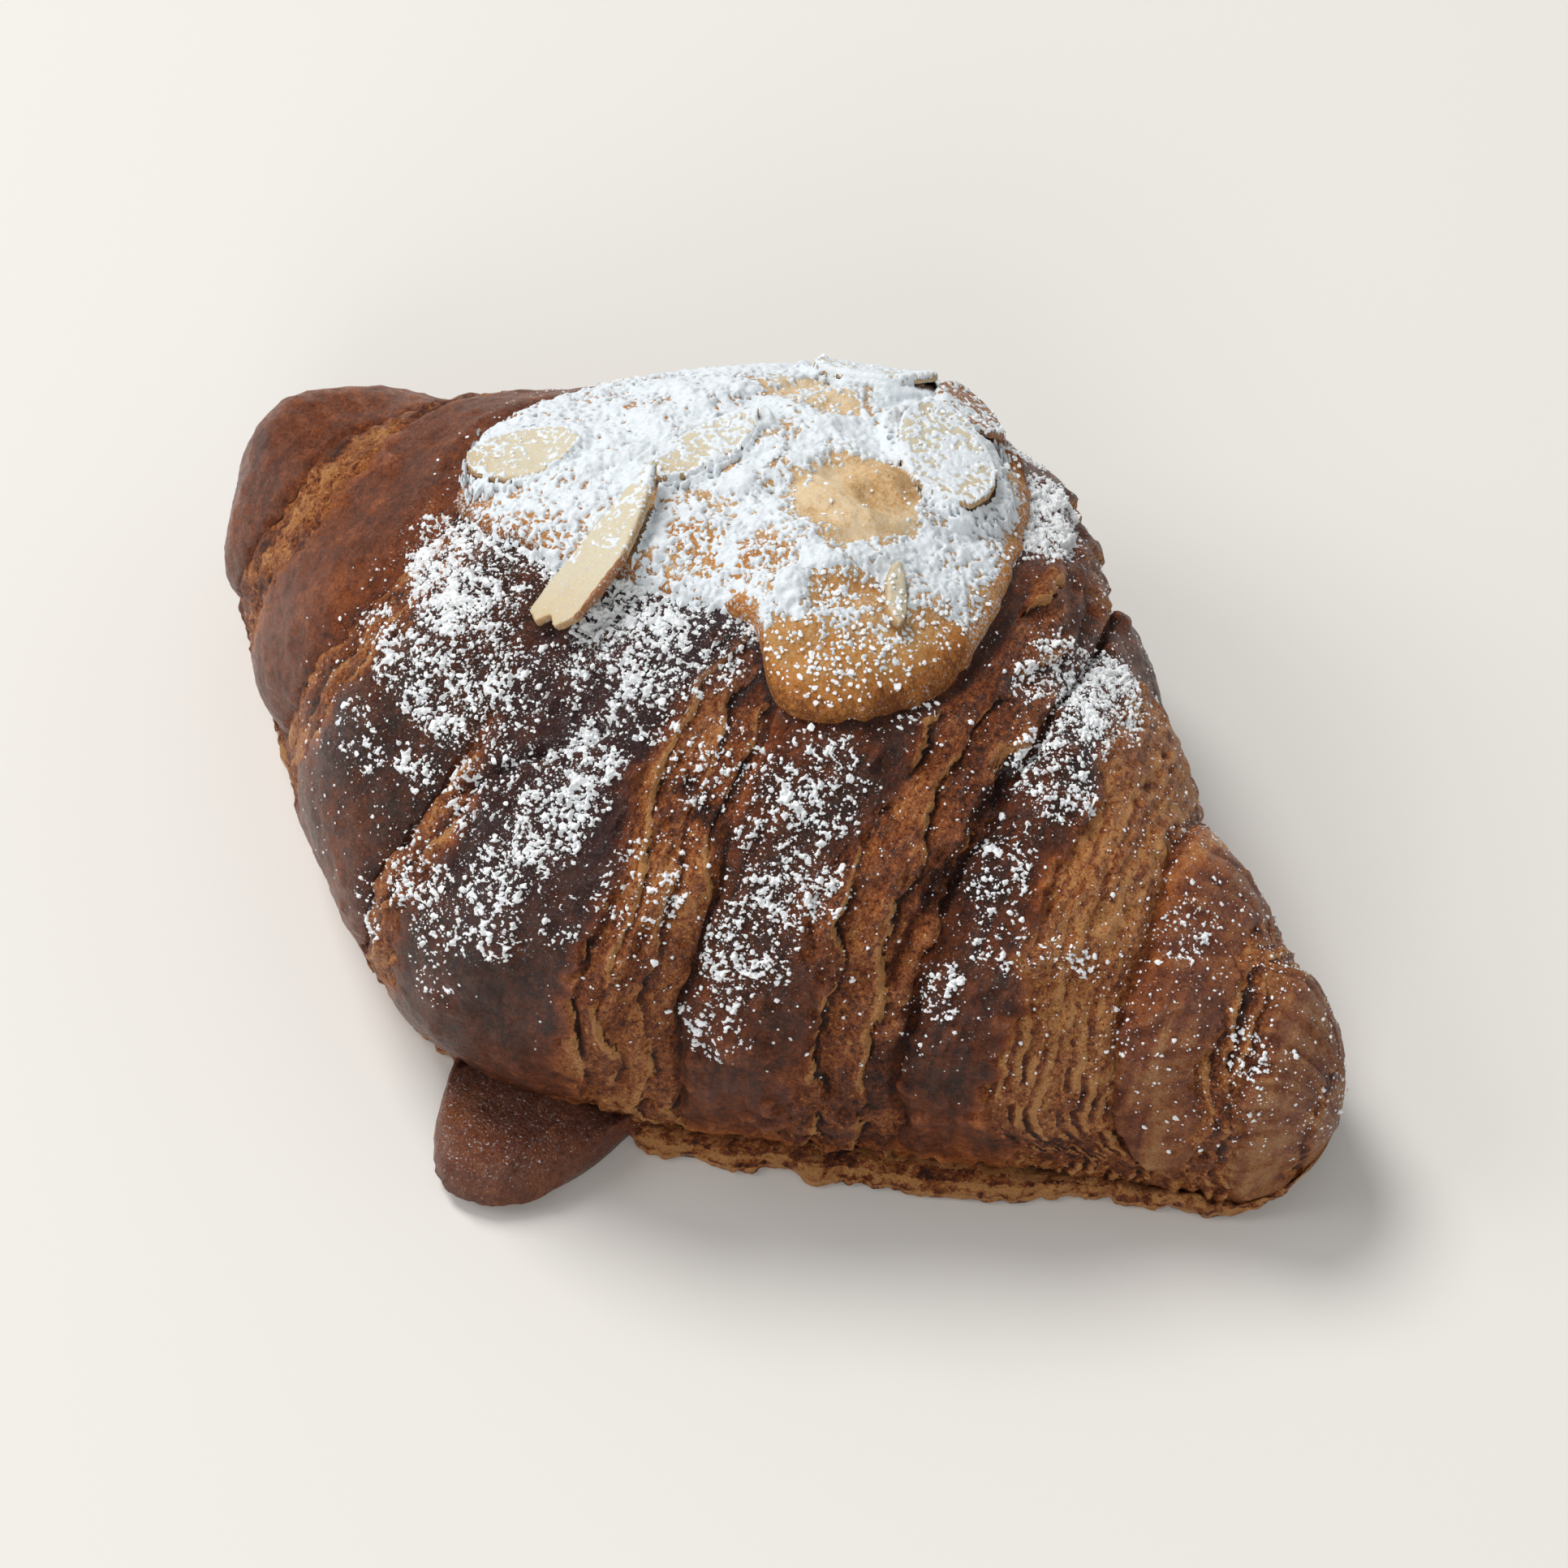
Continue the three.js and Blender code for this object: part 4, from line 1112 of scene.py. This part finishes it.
edge = mix(mix(1.03, 1.06, smoothstep(gx, -36, -26)), 0.97, smoothstep(gx, 0, 6))
edge = edge + 0.04 * patchy(gx, gy, 3, 115)
steep = smoothstep(slope, 1.4, 2.4) * smoothstep(gx, -4, 4)
cream_cover = np.where(on_slice, slice_cover, cream_cover * (1 - 0.7 * steep))
in_front = fade(gy, -4, 2) * fade(gx, 2, 8)
cream_cover = cream_cover * (1 - 0.3 * in_front * smoothstep(share, 0.75, 0.95))
cream_cover = cream_cover * fade(share, edge - 0.09, edge)
drift_points = np.stack([gx, gy, gz], -1)
drift_heap = np.where(share < edge, clumps(drift_points, 0.30, 111) - threshold(cream_cover), -1)
lumps = 0.30 + 0.16 * grainy(drift_points, 0.85, 116) + 0.10 * grainy(drift_points, 0.45, 117)
drift_height = bank + 0.05 + np.where(on_slice, 0.4, 1) * lumps * smoothstep(drift_heap, 0, 0.3)
straight_up = np.broadcast_to([0, 0, 1.0], drift_points.shape)
sugar_drift = sugar_sheet("sugar_drift", drift_points, straight_up, drift_heap, drift_height, smooth=True)


# Materials

def linear(r, g, b):
    """A screen colour, 0 to 255, as the shader's linear colour."""
    c = np.array([r, g, b]) / 255
    return (*np.where(c <= 0.04045, c / 12.92, ((c + 0.055) / 1.055) ** 2.4).tolist(), 1.0)


class Shader:
    """A Principled material with a few helpers for its nodes."""

    def __init__(self, name, roughness, specular):
        self.material = bpy.data.materials.new(name)
        self.material.use_nodes = True
        self.tree = self.material.node_tree
        self.shader = self.tree.nodes["Principled BSDF"]
        self.shader.inputs["Roughness"].default_value = roughness
        self.shader.inputs["Specular IOR Level"].default_value = specular

    def set(self, socket, value):
        """Links a socket, or gives it a plain value."""
        if isinstance(value, bpy.types.NodeSocket):
            self.tree.links.new(value, socket)
        else:
            socket.default_value = value

    def node(self, kind, **inputs):
        made = self.tree.nodes.new(kind)
        for key, value in inputs.items():
            self.set(made.inputs[key.title()], value)
        return made

    def attribute(self, name):
        made = self.tree.nodes.new("ShaderNodeAttribute")
        made.attribute_name = name
        return made.outputs["Fac"]

    def math(self, operation, a, b=0.0):
        made = self.tree.nodes.new("ShaderNodeMath")
        made.operation = operation
        self.set(made.inputs[0], a)
        self.set(made.inputs[1], b)
        return made.outputs[0]

    def times(self, a, b):
        return self.math("MULTIPLY", a, b)

    def total(self, start, *terms):
        """A value plus each (value, amount) term."""
        for value, amount in terms:
            start = self.math("ADD", start, self.times(value, amount))
        return start

    def noise(self, scale, detail=4.0, roughness=0.6, vector=None):
        """Noise about 0, in cells of 1/scale metre unless a vector is given."""
        vector = vector or self.tree.nodes.new("ShaderNodeTexCoord").outputs["Object"]
        made = self.node("ShaderNodeTexNoise", vector=vector, scale=scale, detail=detail, roughness=roughness)
        return self.math("SUBTRACT", made.outputs["Fac"], 0.5)

    def between(self, value, low, high):
        """0 at low and 1 at high, eased; high may be the smaller."""
        made = self.tree.nodes.new("ShaderNodeMapRange")
        made.interpolation_type = "SMOOTHSTEP"
        self.set(made.inputs["Value"], value)
        self.set(made.inputs["From Min"], min(low, high))
        self.set(made.inputs["From Max"], max(low, high))
        self.set(made.inputs["To Min"], float(low > high))
        self.set(made.inputs["To Max"], float(low < high))
        return made.outputs["Result"]

    def blend(self, factor, first, over):
        """A colour with a screen colour over it by a factor."""
        made = self.tree.nodes.new("ShaderNodeMix")
        made.data_type = "RGBA"
        self.set(made.inputs["Factor"], factor)
        self.set(made.inputs[6], first)
        self.set(made.inputs[7], linear(*over))
        return made.outputs[2]

    def ramp(self, factor, stops):
        """A colour from a ramp of (place, screen colour) stops."""
        made = self.tree.nodes.new("ShaderNodeValToRGB")
        self.set(made.inputs["Fac"], factor)
        ends = made.color_ramp.elements
        while len(ends) < len(stops):
            ends.new(0.5)
        for element, (at, colour) in zip(ends, stops):
            element.position = at
            element.color = linear(*colour)
        return made.outputs["Color"]

    def link(self, output, socket):
        self.tree.links.new(output, self.shader.inputs[socket])

    def bump(self, height, strength, distance):
        made = self.node("ShaderNodeBump", strength=strength, distance=distance, height=height)
        self.link(made.outputs["Normal"], "Normal")

    def dress(self, *pieces):
        for piece in pieces:
            piece.data.materials.append(self.material)


def crust_look():
    look = Shader("baked_crust", roughness=0.45, specular=0.44)
    grain = look.tree.nodes.new("ShaderNodeCombineXYZ")
    look.set(grain.inputs[0], look.attribute("along"))
    look.set(grain.inputs[1], look.times(look.attribute("around"), 0.3))
    fibre = look.noise(1.7, 6, 0.7, grain.outputs[0])
    mottle = look.noise(600, 6)
    speck = look.noise(1700, 6, 0.75)
    layered = look.between(look.total(look.attribute("inside"), (mottle, 2.5)), -0.6, 0.6)
    saw = look.math("FRACT", look.total(look.attribute("phase"), (fibre, 0.5)))
    torn = look.times(look.attribute("torn"), layered)
    pitch = look.attribute("pitch")
    to_end = look.times(look.math("SUBTRACT", 1.0, saw), pitch)
    rim = look.times(look.between(to_end, 1.0, 0.35), torn)
    # The cleft at the foot of each sheet's step is painted darker: a painted shadow under the step.
    cleft = look.times(look.between(look.times(saw, pitch), 0.9, 0.2), torn)
    streaks = look.times(fibre, look.total(0.4, (layered, 0.6)))
    crumbs = look.math("SUBTRACT", look.between(speck, 0.02, 0.12), look.between(speck, -0.03, -0.13))
    crumbs = look.times(crumbs, look.total(0.35, (layered, 0.65)))
    grit = look.times(look.noise(3600, 3, 0.7), look.total(0.5, (layered, 0.6)))
    darkness = look.total(look.attribute("bake_and_shade"), (mottle, 0.55), (crumbs, -0.32), (grit, 0.9))
    darkness = look.total(darkness, (streaks, 1.2), (rim, -0.75), (cleft, 0.75))
    colour = look.ramp(darkness, CRUST_COLOURS)
    # The purple cast over the crust's colour is partly a painted sheen.
    colour = look.blend(look.times(look.attribute("purple_and_sheen"), 0.5), colour, PURPLE_AND_SHEEN)
    dust = look.attribute("dust")
    powder = look.between(look.total(look.noise(3000, 3, 0.75), (dust, 0.13)), 0.175, 0.215)
    powder = look.times(powder, look.between(dust, 0.0, 0.2))
    look.link(look.blend(powder, colour, CRUST_DUST), "Base Color")
    look.link(look.total(0.27, (layered, 0.12), (mottle, 0.35), (powder, 0.4)), "Roughness")
    wrinkles = look.total(look.noise(1300, 6, 0.65), (look.noise(420, 3), 1.6))
    relief = look.total(0.5, (wrinkles, 0.9), (crumbs, 0.3), (grit, -0.35), (streaks, 0.9), (cleft, -0.6))
    look.bump(relief, strength=1.0, distance=0.0010)
    return look


def cream_look():
    look = Shader("baked_cream", roughness=0.8, specular=0.2)
    crumb = look.noise(2600, 4, 0.7)
    toast_and_shade = look.total(look.attribute("toast_and_shade"), (look.noise(900, 6, 0.7), 0.7), (crumb, 0.8))
    colour = look.ramp(toast_and_shade, CREAM_COLOURS)
    powder = look.between(look.total(look.noise(2800, 3, 0.75), (look.attribute("dust"), 0.14)), 0.17, 0.21)
    look.link(look.blend(powder, colour, CREAM_DUST), "Base Color")
    darkness = look.between(toast_and_shade, 0.1, 0.6)
    relief = look.total(0.5, (look.noise(1500, 6, 0.7), darkness), (crumb, -0.12))
    look.bump(relief, strength=0.8, distance=0.0012)
    return look


def almond_look():
    look = Shader("almond_flesh", roughness=0.55, specular=0.3)
    tone = look.total(look.attribute("rim"), (look.noise(400, 5), 0.7), (look.noise(140, 2), 0.6))
    flesh = look.ramp(tone, ALMOND_COLOURS)
    peel = look.between(look.total(look.attribute("peel"), (look.noise(900, 4), 0.8)), 0.45, 0.7)
    colour = look.blend(peel, flesh, ALMOND_SKIN)
    powder = look.between(look.noise(2600, 4, 0.75), 0.04, 0.14)
    look.link(look.blend(powder, colour, ALMOND_DUST), "Base Color")
    relief = look.total(0.5, (look.noise(1400, 4), 1.0), (powder, 0.4))
    look.bump(relief, strength=0.5, distance=0.0004)
    return look


def sugar_look(name, shade):
    look = Shader(name, roughness=0.95, specular=0.1)
    tone = look.total(0.5, (look.noise(2500, 4), 1.0))
    lighter = [c + 10 for c in shade]
    look.link(look.ramp(tone, [(0.3, shade), (0.7, lighter)]), "Base Color")
    look.bump(look.total(0.5, (look.noise(3400, 5, 0.7), 1.0)), strength=0.5, distance=0.0004)
    return look


crust_look().dress(*crusts)
cream_look().dress(cream)
almond_look().dress(*slices.values())
sugar_look("powdered_sugar", LOOSE_SUGAR).dress(crust_sugar, sugar_grains, sugar_specks)
# The thick sugar's darker colour is a painted shade.
sugar_look("shaded_sugar", SHADED_SUGAR).dress(sugar_drift)


# Floor, light and camera

floor_mesh = bpy.data.meshes.new("floor")
corners = [(FLOOR_HALF * x, FLOOR_HALF * y, 0) for x, y in ((-1, -1), (1, -1), (1, 1), (-1, 1))]
floor_mesh.from_pydata(corners, [], [(0, 1, 2, 3)])
floor = add_to_scene("floor", floor_mesh)
floor_look = Shader("pale_floor", roughness=0.9, specular=0.1)
floor_look.shader.inputs["Base Color"].default_value = linear(*FLOOR_COLOUR)
floor_look.dress(floor)
floor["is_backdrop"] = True

target = (Vector((0, 0, AIM_HEIGHT)) + Vector(shift)) / 1000
level = math.cos(ELEVATION)
back = Vector((math.sin(AZIMUTH) * level, -math.cos(AZIMUTH) * level, math.sin(ELEVATION)))
camera = add_to_scene("camera", bpy.data.cameras.new("camera"))
camera.location = target + back * DISTANCE
camera.rotation_mode = "QUATERNION"
camera.rotation_quaternion = (-back).to_track_quat("-Z", "Y")
camera.data.sensor_width = SENSOR_WIDTH
camera.data.lens = SENSOR_WIDTH * PIXELS_PER_MM * DISTANCE * 1000 / PHOTO_SIDE
camera.data.shift_x = 0.5 - PHOTO_CENTRE[0] / PHOTO_SIDE
camera.data.shift_y = PHOTO_CENTRE[1] / PHOTO_SIDE - 0.5
camera.data.clip_start = 0.01
bpy.context.scene.camera = camera


def area_light(name, place, size, power, colour):
    lamp = bpy.data.lights.new(name, "AREA")
    lamp.shape = "DISK"
    lamp.size = size
    lamp.energy = power
    lamp.color = colour
    light = add_to_scene(name, lamp)
    light.location = place
    light.rotation_mode = "QUATERNION"
    beam = Vector((0, 0, AIM_HEIGHT / 1000)) - Vector(place)
    light.rotation_quaternion = beam.to_track_quat("-Z", "Y")


area_light("key", place=(-1.35, 0.45, 2.10), size=1.0, power=45.0, colour=(1.0, 0.98, 0.96))
area_light("left", place=(-0.80, -0.46, 0.75), size=0.6, power=3.4, colour=(1.0, 0.99, 0.98))
area_light("front", place=(0.35, -0.95, 0.60), size=0.6, power=3.4, colour=(1.0, 0.99, 0.98))
world = bpy.data.worlds.new("studio")
world.use_nodes = True
background = world.node_tree.nodes["Background"]
background.inputs["Color"].default_value = WORLD_COLOUR
background.inputs["Strength"].default_value = WORLD_STRENGTH
bpy.context.scene.world = world
bpy.context.scene.view_settings.view_transform = "Standard"

low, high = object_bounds()
